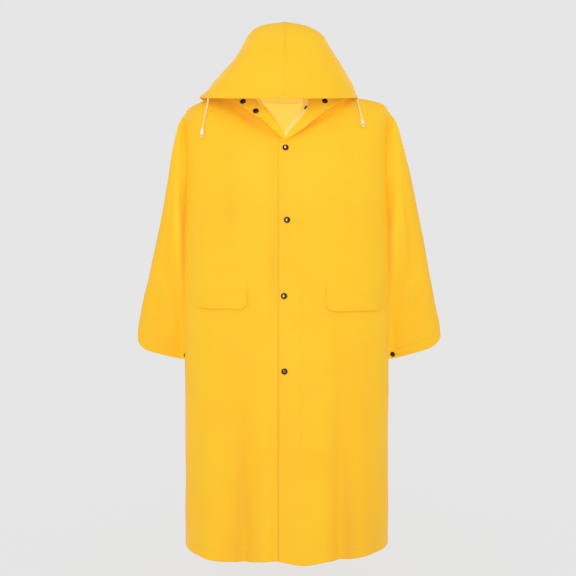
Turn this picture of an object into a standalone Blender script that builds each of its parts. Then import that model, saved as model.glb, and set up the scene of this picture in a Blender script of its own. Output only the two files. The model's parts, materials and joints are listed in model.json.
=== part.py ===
"""Long hooded raincoat, hollow and filled out as on a wearer.

Every cut piece and fitting is one object. Units are metres and +Z is up. The coat faces -Y, and +X is
the wearer's left. The origin is at the base of the neck, where the wearer holds the coat up.
"""

import math
from collections import namedtuple

import bmesh
import bpy
from mathutils import Vector

# Cloth and seams
WALL = 0.0015  # thickness of every cloth wall
SEAM_GAP = 0.0003  # clearance between neighbouring pieces
SET_IN_GAP = 0.0006  # clearance under a sleeve head or a flap
COLLAR_GAP = 0.0012  # clearance under the collar, whose sections are wider than the panels' columns
SEAM_STAND = 0.003  # short upright start of a piece that is set on another

# Placket
LAP_DROP = WALL + 0.0007  # how far the underlap lies inside the overlap
LEFT_EDGE = math.radians(94.0)  # the overlap ends 19 mm past the centre
RIGHT_EDGE = math.radians(97.6)  # the underlap ends 36 mm past the centre
LAP_START = math.radians(78.5)  # the right front starts to dip here
LAP_FULL = math.radians(86.0)  # and lies at its full depth from here on

# Snaps and cords
SNAP_RADIUS = 0.0078
SNAP_HEIGHT = 0.0042
CUFF_SNAP_RADIUS = 0.0070
SNAP_GAP = 0.0006
COLLAR_SNAP_GAP = 0.0012  # a little more, where the collar is rounder
CORD_DIAMETER = 0.0040
BELL_LENGTH = 0.0185
BELL_TOP_RADIUS, BELL_LOW_RADIUS = 0.0038, 0.0055
TAIL_LENGTH = 0.008  # the cord's tail below the bell
TAIL_RADIUS = 0.0019

FRONT, BACK = 1.0, -1.0

Ring = namedtuple("Ring", "side_z front_z back_z half_width front_depth back_depth square")

# Rings of the body from the hem up to the neck, measured on the cloth's inner face
TORSO_RINGS = (
    Ring(-1.200, -1.205, -1.200, 0.2732, 0.186, 0.166, 2.7),  # hem
    Ring(-0.950, -0.952, -0.950, 0.2730, 0.178, 0.160, 2.7),  # knee
    Ring(-0.720, -0.720, -0.720, 0.2730, 0.170, 0.156, 2.7),  # seat
    Ring(-0.520, -0.520, -0.520, 0.2730, 0.163, 0.152, 2.7),  # waist
    Ring(-0.336, -0.340, -0.336, 0.2730, 0.156, 0.148, 2.8),  # underarm
    Ring(-0.230, -0.250, -0.230, 0.2730, 0.148, 0.145, 2.9),  # chest
    Ring(-0.120, -0.168, -0.132, 0.2728, 0.136, 0.136, 2.75),  # yoke
    Ring(-0.034, -0.118, -0.074, 0.2715, 0.121, 0.120, 2.5),  # shoulder point
    Ring(-0.0175, -0.101, -0.055, 0.2560, 0.112, 0.110, 2.35),
    Ring(-0.0075, -0.084, -0.036, 0.2200, 0.102, 0.101, 2.2),
    Ring(-0.0010, -0.069, -0.019, 0.1700, 0.092, 0.092, 2.15),
    Ring(0.0080, -0.053, -0.004, 0.1150, 0.082, 0.083, 2.1),  # neck
)
UNDERARM_ROW, SHOULDER_ROW = 4, 7
ARMHOLE_ANGLE = math.radians(25.0)  # how far the armhole reaches round the body, front and back

Fold = namedtuple("Fold", "face top_x top_z low_x low_z half_width depth to_hem")

HEM_DIP = 0.2  # how much lower the hem hangs for each metre that a fold pushes it out
HEM_DIP_HEIGHT = 0.15  # the dip fades out over this height
FOLD_FADE = 1.6  # the folds fade out towards the side seams, the slower the larger this is

# Largest folds of the body: troughs have a negative depth
FOLDS = (
    Fold(FRONT, -0.118, -0.66, -0.110, -1.205, 0.030, -0.012, True),
    Fold(FRONT, 0.128, -0.56, 0.136, -1.205, 0.034, -0.016, True),
    Fold(FRONT, 0.020, -0.84, 0.045, -1.205, 0.050, 0.020, True),
    Fold(FRONT, -0.195, -0.74, -0.200, -1.205, 0.036, 0.007, True),
    Fold(FRONT, 0.196, -0.62, 0.204, -1.205, 0.036, 0.006, True),
    Fold(FRONT, -0.160, -0.15, -0.150, -0.47, 0.022, -0.005, False),
    Fold(BACK, -0.160, -0.50, -0.168, -1.205, 0.036, -0.014, True),
    Fold(BACK, -0.036, -0.62, -0.048, -1.205, 0.050, 0.018, True),
    Fold(BACK, 0.066, -0.54, 0.078, -1.205, 0.036, -0.015, True),
    Fold(BACK, 0.170, -0.70, 0.178, -1.205, 0.040, 0.009, True),
)

# Neck opening, seen from the front: distance towards the panel's own side, and height
VPoint = namedtuple("VPoint", "outward z")
LEFT_V = (VPoint(-0.036, -0.150), VPoint(0.000, -0.121), VPoint(0.028, -0.094), VPoint(0.054, -0.059),
          VPoint(0.068, -0.038), VPoint(0.075, 0.000), VPoint(0.300, 0.060))
RIGHT_V = (VPoint(-0.036, -0.150), VPoint(0.000, -0.124), VPoint(0.043, -0.073), VPoint(0.072, -0.052),
           VPoint(0.108, -0.024), VPoint(0.300, 0.060))

# Column lines of a front, in degrees from its own side seam towards the centre
SIDE_LINES = (0.0, 9.5, 19.0, 28.5, 36.0, 44.3, 52.6, 61.0, 69.3)
CENTRE_LINES = (74.0, 78.5, 82.4, 86.0, 90.0, 94.0, 97.6)
SKIRT_ROWS = 12
ARMHOLE_STEPS = 10
YOKE_ROWS = 5
BACK_COLUMNS = 28

SleeveRing = namedtuple("SleeveRing", "inner_z outer_z left_reach right_reach half_depth centre_y")

# Rings of a sleeve below its head: the inner end keeps close to the body, the outer end is the outline
SLEEVE_RINGS = (
    SleeveRing(-0.347, -0.058, 0.2912, 0.2888, 0.073, 0.000),
    SleeveRing(-0.358, -0.100, 0.3066, 0.3010, 0.076, 0.002),
    SleeveRing(-0.374, -0.155, 0.3208, 0.3115, 0.078, 0.005),
    SleeveRing(-0.400, -0.225, 0.3372, 0.3225, 0.078, 0.010),
    SleeveRing(-0.440, -0.305, 0.3540, 0.3370, 0.074, 0.016),
    SleeveRing(-0.497, -0.390, 0.3705, 0.3555, 0.067, 0.022),
    SleeveRing(-0.562, -0.480, 0.3880, 0.3760, 0.058, 0.028),
    SleeveRing(-0.636, -0.570, 0.4065, 0.3960, 0.047, 0.034),
    SleeveRing(-0.688, -0.622, 0.4180, 0.4062, 0.039, 0.038),
    SleeveRing(-0.712, -0.650, 0.4222, 0.4098, 0.035, 0.040),
)
SLEEVE_INNER_X = 0.2788
SLEEVE_SQUARE = 2.15

HoodRing = namedtuple("HoodRing", "side_z front_z back_z right_x left_x front_depth back_depth square")

# Rings of the hood from its open base up to the crown, wearer's right at -X and left at +X
HOOD_RINGS = (
    HoodRing(0.0002, -0.0232, -0.034, -0.2372, 0.1908, 0.140, 0.130, 2.2),
    HoodRing(0.0160, -0.0020, -0.012, -0.2168, 0.1830, 0.143, 0.137, 2.2),
    HoodRing(0.0370, 0.0260, 0.018, -0.2000, 0.1748, 0.143, 0.145, 2.2),
    HoodRing(0.0586, 0.0530, 0.047, -0.1810, 0.1612, 0.139, 0.150, 2.2),
    HoodRing(0.0800, 0.0770, 0.073, -0.1594, 0.1476, 0.132, 0.151, 2.2),
    HoodRing(0.1010, 0.1000, 0.097, -0.1406, 0.1340, 0.123, 0.148, 2.2),
    HoodRing(0.1330, 0.1330, 0.131, -0.1190, 0.1152, 0.102, 0.136, 2.2),
    HoodRing(0.1620, 0.1610, 0.160, -0.1040, 0.0985, 0.076, 0.116, 2.2),
    HoodRing(0.1800, 0.1790, 0.179, -0.0865, 0.0730, 0.052, 0.096, 2.2),
    HoodRing(0.1915, 0.1910, 0.191, -0.0560, 0.0420, 0.030, 0.077, 2.2),
    HoodRing(0.2010, 0.2010, 0.201, -0.0046, -0.0046, 0.004, 0.052, 2.2),
)
HOOD_CENTRE_X = -0.0046
HOOD_COLUMNS = 12
HOOD_ROWS = 11

CollarStation = namedtuple("CollarStation", "at rise lean fall lift")

# Collar sections, at a share of the way from the left V's foot, round the back, to the right V's foot
COLLAR_STATIONS = (
    CollarStation(0.000, 0.004, 0.001, 0.007, 0.004),
    CollarStation(0.060, 0.008, 0.004, 0.014, 0.005),
    CollarStation(0.130, 0.012, 0.008, 0.028, 0.006),
    CollarStation(0.190, 0.017, 0.024, 0.040, 0.007),
    CollarStation(0.250, 0.022, 0.018, 0.050, 0.010),
    CollarStation(0.350, 0.027, 0.008, 0.042, 0.008),
    CollarStation(0.550, 0.028, 0.006, 0.038, 0.007),
    CollarStation(0.720, 0.026, 0.006, 0.034, 0.010),
    CollarStation(0.800, 0.020, 0.006, 0.026, 0.014),
    CollarStation(0.870, 0.014, 0.005, 0.023, 0.013),
    CollarStation(0.940, 0.009, 0.003, 0.018, 0.009),
    CollarStation(1.000, 0.004, 0.001, 0.008, 0.004),
)
COLLAR_SECTIONS = 42
COLLAR_START_X = 0.004  # the collar starts this far from the middle of the coat, on each side
NECKLINE_STEPS = 60

# Pocket flaps: heights of their edges, and column lines of the front where they end
FLAP_TOP_Z, FLAP_LOW_Z = -0.466, -0.566
FLAP_INNER_LINE = 69.3
LEFT_FLAP_OUTER_LINE, RIGHT_FLAP_OUTER_LINE = 28.5, 36.0
FLAP_ROWS = 4
FLAP_LIFT = 0.0035  # how far the free edge stands off the front

# Snap centres down the placket: distance from the middle of the coat, and height
FRONT_SNAPS = ((-0.0028, -0.147), (0.0010, -0.333), (-0.0067, -0.527), (-0.0055, -0.7195))

# Snap places on the collar: number of the section round the neck, and of the point across the collar
CollarSnap = namedtuple("CollarSnap", "section across")
COLLAR_SNAPS = (CollarSnap(7.6, 5.4), CollarSnap(5.1, 3.1), CollarSnap(36.4, 5.5), CollarSnap(34.2, 5.5))

# Cuff snaps: turn round the sleeve from its outer line over the front, and height over the edge in rings
LEFT_CUFF_SNAP_TURN, RIGHT_CUFF_SNAP_TURN = math.radians(142.0), math.radians(160.0)
CUFF_SNAP_RISE = 0.52

# Routes of the drawcord's free ends, from the brim down over the chest
LEFT_CORD = ((0.1872, -0.0408, -0.0105), (0.1880, -0.0505, -0.0180), (0.1893, -0.0615, -0.0285),
             (0.1913, -0.0718, -0.0402), (0.1937, -0.0815, -0.0535), (0.1962, -0.0922, -0.0698))
RIGHT_CORD = ((-0.2057, -0.0786, -0.0138), (-0.2066, -0.0790, -0.0240), (-0.2103, -0.0805, -0.0440),
              (-0.2140, -0.0848, -0.0620), (-0.2170, -0.0917, -0.0790), (-0.2187, -0.0985, -0.0950))


def slopes(knots, values):
    """Slopes at the knots that keep a cubic from swinging past its values."""
    spans = list(zip(knots, knots[1:], values, values[1:]))
    steps = [(after - before) / (end - start) for start, end, before, after in spans]
    inner = [0.0 if a * b <= 0.0 else 2.0 * a * b / (a + b) for a, b in zip(steps, steps[1:])]
    return [steps[0]] + inner + [steps[-1]]


def smooth(knots, values, at):
    """Value of a smooth curve through (knot, value) pairs."""
    at = min(max(at, knots[0]), knots[-1])
    high = next(i for i in range(1, len(knots)) if at <= knots[i])
    tangents = slopes(knots, values)
    span = knots[high] - knots[high - 1]
    t = (at - knots[high - 1]) / span
    start = (1.0 - t) ** 2 * ((1.0 + 2.0 * t) * values[high - 1] + t * span * tangents[high - 1])
    end = t**2 * ((3.0 - 2.0 * t) * values[high] - (1.0 - t) * span * tangents[high])
    return start + end


def ease(share):
    """Smooth step from 0 to 1."""
    share = min(max(share, 0.0), 1.0)
    return share * share * (3.0 - 2.0 * share)


def running_length(rings):
    """Length along the rings' side profile up to each ring."""
    total = [0.0]
    for low, high in zip(rings, rings[1:]):
        total.append(total[-1] + math.hypot(high.side_z - low.side_z, high.half_width - low.half_width))
    return total


def unit_ring(angle, square):
    """Point of a rounded square of half size 1, at an angle from +X towards the front."""
    across, forward = math.cos(angle), math.sin(angle)
    reach = (abs(across) ** square + abs(forward) ** square) ** (-1.0 / square)
    return across * reach, forward * reach


TORSO_LENGTHS = running_length(TORSO_RINGS)
UNDERARM = TORSO_LENGTHS[UNDERARM_ROW]
SHOULDER = TORSO_LENGTHS[SHOULDER_ROW]
NECK = TORSO_LENGTHS[-1]
HEM_Z = TORSO_RINGS[0].front_z
V_FOOT_LINE = UNDERARM + 0.55 * (NECK - UNDERARM)  # a line below the foot of the neck opening


def torso_ring(line):
    """Ring of the body at a length up its side."""
    return Ring(*(smooth(TORSO_LENGTHS, column, line) for column in zip(*TORSO_RINGS)))


def fold_depth(face, x, z):
    """How far the folds push the cloth out at a place on the front or back."""
    total = 0.0
    for fold in FOLDS:
        if fold.face != face or z > fold.top_z or (z < fold.low_z and not fold.to_hem):
            continue
        down = (fold.top_z - z) / (fold.top_z - fold.low_z)
        centre = fold.top_x + (fold.low_x - fold.top_x) * down
        strength = ease(down) if fold.to_hem else math.sin(math.pi * down) ** 2
        total += fold.depth * strength * math.exp(-(((x - centre) / fold.half_width) ** 2))
    return total


def body_point(angle, line, ring=None):
    """Point of the body's inner face, at an angle from +X towards the front."""
    ring = ring or torso_ring(line)
    across, forward = unit_ring(angle, ring.square)
    depth, end_z = (ring.front_depth, ring.front_z) if forward > 0.0 else (ring.back_depth, ring.back_z)
    x, y = ring.half_width * across, -depth * forward
    z = ring.side_z + (end_z - ring.side_z) * forward**2
    out_x = math.copysign(abs(across) ** (ring.square - 1.0) / ring.half_width, across)
    out_y = -math.copysign(abs(forward) ** (ring.square - 1.0) / depth, forward)
    out = Vector((out_x, out_y, 0.0)).normalized()
    push = fold_depth(FRONT if forward > 0.0 else BACK, x, z) * min(1.0, abs(forward) * FOLD_FADE)
    dip = HEM_DIP * max(push, 0.0) * ease(1.0 - (z - HEM_Z) / HEM_DIP_HEIGHT)
    return Vector((x, y, z - dip)) + out * push


def body_normal(angle, line):
    """Direction straight out of the body's cloth."""
    step = 0.002
    round_way = body_point(angle + step, line) - body_point(angle - step, line)
    up_way = body_point(angle, min(line + step, NECK)) - body_point(angle, max(line - step, 0.0))
    return up_way.cross(round_way).normalized()


def angle_at(x, line):
    """Angle on the front at which a ring has the given x."""
    low, high = 0.0, math.pi
    ring = torso_ring(line)
    for _ in range(40):
        middle = 0.5 * (low + high)
        low, high = (middle, high) if body_point(middle, line, ring).x > x else (low, middle)
    return 0.5 * (low + high)


def line_at(z, angle):
    """Length up the body at which a front column has the given height."""
    low, high = 0.0, NECK
    for _ in range(40):
        middle = 0.5 * (low + high)
        low, high = (middle, high) if body_point(angle, middle).z < z else (low, middle)
    return 0.5 * (low + high)


def v_height(v_line, outward):
    """Height of the neck opening's edge at a distance towards the panel's own side."""
    return smooth([p.outward for p in v_line], [p.z for p in v_line], outward)


def own_angle(side, angle):
    """Angle from +X, from an angle measured from the panel's own side."""
    return angle if side > 0.0 else math.pi - angle


def armhole_edge(line):
    """Angle of the armhole's edge from the side line, at a length up the body."""
    if not UNDERARM < line < SHOULDER:
        return 0.0
    share = (2.0 * line - UNDERARM - SHOULDER) / (SHOULDER - UNDERARM)
    return ARMHOLE_ANGLE * math.sqrt(max(0.0, 1.0 - share * share))


def front_edge(side, line):
    """Angle of a front's centre edge, and whether that edge is the neck opening's."""
    edge, v_line = (LEFT_EDGE, LEFT_V) if side > 0.0 else (RIGHT_EDGE, RIGHT_V)

    def over_v(angle):
        point = body_point(own_angle(side, angle), line)
        return point.z - v_height(v_line, side * point.x)

    if over_v(edge) <= 0.0:
        return edge, False
    low, high = armhole_edge(line), edge
    for _ in range(40):
        middle = 0.5 * (low + high)
        low, high = (low, middle) if over_v(middle) > 0.0 else (middle, high)
    return 0.5 * (low + high), True


def flap_lines():
    """Lengths up the body of the pocket flaps' rows, from their top edge down."""
    heights = [FLAP_TOP_Z + (FLAP_LOW_Z - FLAP_TOP_Z) * i / FLAP_ROWS for i in range(FLAP_ROWS + 1)]
    return [line_at(height, 0.5 * math.pi) for height in heights]


def body_lines():
    """Lengths up the body of the panels' rows, with the armhole's rows close at its ends."""
    skirt = [UNDERARM * i / SKIRT_ROWS for i in range(SKIRT_ROWS)]
    skirt = [line for line in skirt if all(abs(line - row) > 0.02 for row in flap_lines())] + flap_lines()
    middle, half = 0.5 * (UNDERARM + SHOULDER), 0.5 * (SHOULDER - UNDERARM)
    arm = [middle - half * math.cos(math.pi * i / ARMHOLE_STEPS) for i in range(ARMHOLE_STEPS + 1)]
    top = [SHOULDER + (NECK - SHOULDER) * (i + 1) / YOKE_ROWS for i in range(YOKE_ROWS)]
    return sorted(skirt) + arm + top


def front_angles(side, line):
    """Angles of a front's columns on one row, from its own side to its centre edge."""
    start = armhole_edge(line)
    edge, in_v = front_edge(side, line)
    last = math.degrees(LEFT_EDGE if side > 0.0 else RIGHT_EDGE)
    lines = [a for a in SIDE_LINES + CENTRE_LINES if a <= last + 0.01]
    if in_v:
        return [start + (edge - start) * a / last for a in lines]
    pivot = math.radians(SIDE_LINES[-1])
    shares = [a / SIDE_LINES[-1] for a in SIDE_LINES]
    side_angles = [start + (pivot - start) * share for share in shares]
    return side_angles + [math.radians(a) for a in lines if a > SIDE_LINES[-1]]


def front_point(side, angle, line):
    """Point of a front, with the right one dipping under the left at the placket."""
    world = own_angle(side, angle)
    point = body_point(world, line)
    if side < 0.0:
        dip = ease((angle - LAP_START) / (LAP_FULL - LAP_START))
        point -= body_normal(world, line) * LAP_DROP * dip
    return point + Vector((0.0, -0.5 * SEAM_GAP, 0.0))


def front_grid(side):
    """Rows of points of a front, from the hem up."""
    return [[front_point(side, angle, line) for angle in front_angles(side, line)] for line in body_lines()]


def back_grid():
    """Rows of points of the back, from the hem up."""
    rows = []
    for line in body_lines():
        start = armhole_edge(line)
        angles = [-(start + (math.pi - 2.0 * start) * i / BACK_COLUMNS) for i in range(BACK_COLUMNS + 1)]
        rows.append([body_point(angle, line) + Vector((0.0, 0.5 * SEAM_GAP, 0.0)) for angle in angles])
    return rows


def armhole_loop(side, steps):
    """Angles and lengths round an armhole, from the shoulder point over the front."""
    middle, half = 0.5 * (UNDERARM + SHOULDER), 0.5 * (SHOULDER - UNDERARM)
    turns = [2.0 * math.pi * i / steps for i in range(steps)]
    return [(own_angle(side, ARMHOLE_ANGLE * math.sin(t)), middle + half * math.cos(t)) for t in turns]


def sleeve_grid(side):
    """Closed rings of points of a sleeve, from its head to the cuff."""
    steps = 2 * ARMHOLE_STEPS
    head = [(body_point(a, s), body_normal(a, s)) for a, s in armhole_loop(side, steps)]
    rows = [[p + n * (WALL + SET_IN_GAP + stand) for p, n in head] for stand in (0.0, SEAM_STAND)]
    for ring in SLEEVE_RINGS:
        inner = Vector((SLEEVE_INNER_X * side, ring.centre_y, ring.inner_z))
        reach = ring.left_reach if side > 0.0 else ring.right_reach
        outer = Vector((reach * side, ring.centre_y, ring.outer_z))
        row = []
        for i in range(steps):
            forward, along = unit_ring(0.5 * math.pi - 2.0 * math.pi * i / steps, SLEEVE_SQUARE)
            across = (outer - inner) * 0.5 * along
            row.append((inner + outer) * 0.5 + across + Vector((0.0, -ring.half_depth * forward, 0.0)))
        rows.append(row)
    return rows


def hood_ring(share):
    """Ring of the hood at a share of the way from its base to its crown."""
    places = [i / (len(HOOD_RINGS) - 1) for i in range(len(HOOD_RINGS))]
    return HoodRing(*(smooth(places, column, share) for column in zip(*HOOD_RINGS)))


def hood_point(side, angle, share):
    """Point of the hood, at an angle from the wearer's own side towards the front."""
    ring = hood_ring(share)
    across, forward = unit_ring(angle, ring.square)
    half = ring.left_x - HOOD_CENTRE_X if side > 0.0 else HOOD_CENTRE_X - ring.right_x
    depth, end_z = (ring.front_depth, ring.front_z) if forward > 0.0 else (ring.back_depth, ring.back_z)
    x = HOOD_CENTRE_X + side * (half * across + 0.5 * SEAM_GAP)
    drop = forward if forward > 0.0 else forward * forward
    return Vector((x, -depth * forward, ring.side_z + (end_z - ring.side_z) * drop))


def hood_grid(side):
    """Rows of points of a hood half, from the base up to the centre seam."""
    turns = [math.pi * (0.5 - i / HOOD_COLUMNS) for i in range(HOOD_COLUMNS + 1)]
    return [[hood_point(side, turn, i / HOOD_ROWS) for turn in turns] for i in range(HOOD_ROWS + 1)]


def v_path(side):
    """Angles and lengths up one side of the neck opening, from its foot to the neck."""
    path = []
    for i in range(NECKLINE_STEPS + 1):
        line = V_FOOT_LINE + (NECK - V_FOOT_LINE) * i / NECKLINE_STEPS
        angle, in_v = front_edge(side, line)
        if in_v and side * body_point(own_angle(side, angle), line).x >= COLLAR_START_X:
            path.append((own_angle(side, angle), line))
    return path


def neckline():
    """Angles and lengths round the neck, from the left V's foot over the back to the right V's foot."""
    left, right = v_path(1.0), v_path(-1.0)
    start, end = left[-1][0], right[-1][0] - 2.0 * math.pi
    shares = [i / NECKLINE_STEPS for i in range(1, NECKLINE_STEPS)]
    band = [(start + (end - start) * share, NECK) for share in shares]
    return left + band + [(a - 2.0 * math.pi, s) for a, s in reversed(right)]


def even_stations(path, count):
    """Angles and lengths at even spacing along a path on the body."""
    points = [body_point(angle, line) for angle, line in path]
    total = [0.0]
    for a, b in zip(points, points[1:]):
        total.append(total[-1] + (b - a).length)
    found = []
    for i in range(count + 1):
        at = total[-1] * i / count
        k = next(j for j in range(1, len(total)) if at <= total[j] + 1e-9)
        t = (at - total[k - 1]) / (total[k] - total[k - 1])
        found.append((path[k - 1][0] + (path[k][0] - path[k - 1][0]) * t,
                      path[k - 1][1] + (path[k][1] - path[k - 1][1]) * t))
    return found


def collar_section(station, foot, out, up):
    """Points across the collar: up from its foot, over the roll and down to the free edge."""
    rise, lean, fall, lift = station.rise, station.lean, station.fall, station.lift
    shape = ((0.0015, 0.0), (0.0015, min(SEAM_STAND, 0.4 * rise)), (-0.55 * lean, 0.55 * rise),
             (-lean, 0.88 * rise), (-lean + 0.004, 1.03 * rise), (0.34 * fall, 0.80 * rise + 0.15 * lift),
             (0.68 * fall, 0.35 * rise + 0.60 * lift), (fall, lift))
    return [foot + out * across + up * height for across, height in shape]


def collar_grid():
    """Rows of points across the collar, round the neck."""
    places = even_stations(neckline(), COLLAR_SECTIONS)
    points = [body_point(angle, line) for angle, line in places]
    knots = [station.at for station in COLLAR_STATIONS]
    rows = []
    for i, (angle, line) in enumerate(places):
        values = (smooth(knots, column, i / COLLAR_SECTIONS) for column in zip(*COLLAR_STATIONS))
        station = CollarStation(*values)
        up = body_normal(angle, line)
        along = points[min(i + 1, COLLAR_SECTIONS)] - points[max(i - 1, 0)]
        out = along.cross(up).normalized()
        rows.append(collar_section(station, points[i] + up * (WALL + COLLAR_GAP), out, up))
    return rows


def flap_grid(side):
    """Rows of points of a pocket flap, taken from its front and moved out."""
    outer = LEFT_FLAP_OUTER_LINE if side > 0.0 else RIGHT_FLAP_OUTER_LINE
    angles = [math.radians(a) for a in SIDE_LINES if outer <= a <= FLAP_INNER_LINE]
    grid = []
    for i, line in enumerate(flap_lines()):
        lift = WALL + SET_IN_GAP + FLAP_LIFT * ease(i / FLAP_ROWS)
        row = [(front_point(side, a, line), body_normal(own_angle(side, a), line)) for a in angles]
        grid.append([point + normal * lift for point, normal in row])
    return grid


def material(name, colour, roughness, metallic=0.0):
    """Plain Principled material."""
    made = bpy.data.materials.new(name)
    made.use_nodes = True
    shader = made.node_tree.nodes["Principled BSDF"]
    shader.inputs["Base Color"].default_value = (*colour, 1.0)
    shader.inputs["Roughness"].default_value = roughness
    shader.inputs["Metallic"].default_value = metallic
    return made


def cloth(name, grid, finish, collection, closed=False, flip=False):
    """Cloth wall from rows of points on its inner face, thickened outwards."""
    mesh = bmesh.new()
    rows = [[mesh.verts.new(point) for point in row] for row in grid]
    for low, high in zip(rows, rows[1:]):
        count = len(low)
        for i in range(count if closed else count - 1):
            j = (i + 1) % count
            corners = (low[i], low[j], high[j], high[i])
            mesh.faces.new(corners[::-1] if flip else corners)
    data = bpy.data.meshes.new(name)
    mesh.to_mesh(data)
    mesh.free()
    data.materials.append(finish)
    piece = bpy.data.objects.new(name, data)
    collection.objects.link(piece)
    data.shade_smooth()
    wall = piece.modifiers.new("Wall", "SOLIDIFY")
    wall.thickness = WALL
    wall.offset = 1.0
    wall.use_rim = True
    return piece


def grid_point(grid, row, column):
    """Point at a place between a grid's points."""
    i, j = min(int(row), len(grid) - 2), min(int(column), len(grid[0]) - 2)
    low = grid[i][j].lerp(grid[i][j + 1], column - j)
    high = grid[i + 1][j].lerp(grid[i + 1][j + 1], column - j)
    return low.lerp(high, row - i)


def grid_normal(grid, row, column):
    """Direction out of a grid, evened out over half a cell each way."""
    across = grid_point(grid, row, column + 0.5) - grid_point(grid, row, column - 0.5)
    along = grid_point(grid, row + 0.5, column) - grid_point(grid, row - 0.5, column)
    return across.cross(along).normalized()


def turned(name, profile, steps, point, axis, finish, collection):
    """Turned solid from a profile of (radius, height) pairs, standing on a point along an axis."""
    data = bpy.data.meshes.new(name)
    edges = [(i, i + 1) for i in range(len(profile) - 1)]
    data.from_pydata([(radius, 0.0, height) for radius, height in profile], edges, [])
    data.materials.append(finish)
    piece = bpy.data.objects.new(name, data)
    collection.objects.link(piece)
    screw = piece.modifiers.new("Turn", "SCREW")
    screw.steps = steps
    screw.render_steps = steps
    screw.use_merge_vertices = True
    screw.merge_threshold = 0.00005
    piece.location = point
    piece.rotation_mode = "QUATERNION"
    piece.rotation_quaternion = Vector(axis).to_track_quat("Z", "Y")
    return piece


def snap(name, radius, point, axis, finish, collection):
    """Domed snap cap lying on the cloth."""
    height = SNAP_HEIGHT * radius / SNAP_RADIUS
    profile = ((0.0, height), (0.45 * radius, 0.93 * height), (0.80 * radius, 0.66 * height),
               (radius, 0.22 * height), (0.94 * radius, 0.0), (0.0, 0.0))
    return turned(name, profile, 14, point, axis, finish, collection)


def cord(name, route, finish, collection):
    """Round cord along a smooth curve through its route points."""
    data = bpy.data.curves.new(name, "CURVE")
    data.dimensions = "3D"
    data.bevel_depth = 0.5 * CORD_DIAMETER
    data.bevel_resolution = 2
    data.use_fill_caps = True
    total = [0.0]
    for a, b in zip(route, route[1:]):
        total.append(total[-1] + math.dist(a, b))
    count = max(4, round(total[-1] / (2.0 * CORD_DIAMETER)))
    spline = data.splines.new("POLY")
    spline.points.add(count)
    for i in range(count + 1):
        at = total[-1] * i / count
        spline.points[i].co = (*(smooth(total, axis, at) for axis in zip(*route)), 1.0)
    data.materials.append(finish)
    piece = bpy.data.objects.new(name, data)
    collection.objects.link(piece)
    return piece


def cord_end(name, route, finish, collection):
    """Bell on the cord's end, with the cord's tail below it."""
    top, before = Vector(route[-1]), Vector(route[-2])
    axis = (before - top).normalized()
    low = -BELL_LENGTH - TAIL_LENGTH
    profile = ((0.0, -SEAM_GAP), (0.8 * BELL_TOP_RADIUS, -SEAM_GAP), (BELL_TOP_RADIUS, -0.15 * BELL_LENGTH),
               (BELL_LOW_RADIUS, -BELL_LENGTH), (TAIL_RADIUS, -BELL_LENGTH - SEAM_GAP), (TAIL_RADIUS, low),
               (0.0, low))
    return turned(name, profile, 12, top, axis, finish, collection)


def build():
    """Make every piece of the coat."""
    for old in list(bpy.data.objects):
        bpy.data.objects.remove(old)
    coat = bpy.data.collections.new("hooded_raincoat")
    bpy.context.scene.collection.children.link(coat)

    pvc = material("yellow_coated_cloth", (0.99, 0.60, 0.035), 0.38)
    cap = material("dark_snap", (0.02, 0.014, 0.012), 0.25, 0.6)
    lace = material("off_white_cord", (0.90, 0.86, 0.76), 0.8)
    plastic = material("white_plastic", (0.93, 0.90, 0.84), 0.45)

    cloth("front_left", front_grid(1.0), pvc, coat, flip=True)
    cloth("front_right", front_grid(-1.0), pvc, coat)
    cloth("back", back_grid(), pvc, coat)
    cloth("sleeve_left", sleeve_grid(1.0), pvc, coat, closed=True)
    cloth("sleeve_right", sleeve_grid(-1.0), pvc, coat, closed=True, flip=True)
    cloth("hood_left", hood_grid(1.0), pvc, coat)
    cloth("hood_right", hood_grid(-1.0), pvc, coat, flip=True)
    band = collar_grid()
    cloth("collar", band, pvc, coat)
    cloth("pocket_flap_left", flap_grid(1.0), pvc, coat)
    cloth("pocket_flap_right", flap_grid(-1.0), pvc, coat, flip=True)

    for number, (x, z) in enumerate(FRONT_SNAPS, 1):
        line = line_at(z, 0.5 * math.pi)
        angle = angle_at(x, line)
        normal = body_normal(angle, line)
        snap(f"snap_front_{number}", SNAP_RADIUS, body_point(angle, line) + normal * (WALL + SNAP_GAP),
             normal, cap, coat)

    for number, place in enumerate(COLLAR_SNAPS, 1):
        normal = grid_normal(band, place.section, place.across)
        point = grid_point(band, place.section, place.across) + normal * (WALL + COLLAR_SNAP_GAP)
        snap(f"snap_collar_{number}", SNAP_RADIUS, point, normal, cap, coat)

    for side, name, turn in ((1.0, "left", LEFT_CUFF_SNAP_TURN), (-1.0, "right", RIGHT_CUFF_SNAP_TURN)):
        rings = sleeve_grid(side)
        row = len(rings) - 1 - CUFF_SNAP_RISE
        column = turn / (2.0 * math.pi) * len(rings[0])
        normal = grid_normal(rings, row, column) * side
        point = grid_point(rings, row, column) + normal * (WALL + SNAP_GAP)
        snap(f"snap_cuff_{name}", CUFF_SNAP_RADIUS, point, normal, cap, coat)

    cord("cord_left", LEFT_CORD, lace, coat)
    cord("cord_right", RIGHT_CORD, lace, coat)
    cord_end("cord_end_left", LEFT_CORD, plastic, coat)
    cord_end("cord_end_right", RIGHT_CORD, plastic, coat)


if __name__ == "__main__":
    build()
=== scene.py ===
# %% [markdown]
# # A long hooded raincoat in coated cloth
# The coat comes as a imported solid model, the frame: plain walls with the garment's true size and place.
# This lesson dresses it. Every cut piece of cloth is made again as a fine, creased sheet on the form of
# its solid, and the snaps, the drawcord and the plastic ends get their real shape. The frame stays hidden
# below, so nothing here may move or resize it. Units are metres and +Z is up. The coat faces -Y, and +X is
# the wearer's left.

# %% Load the frame
import json
import math
from collections import namedtuple

import bpy
import numpy as np
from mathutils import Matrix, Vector, noise

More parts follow.
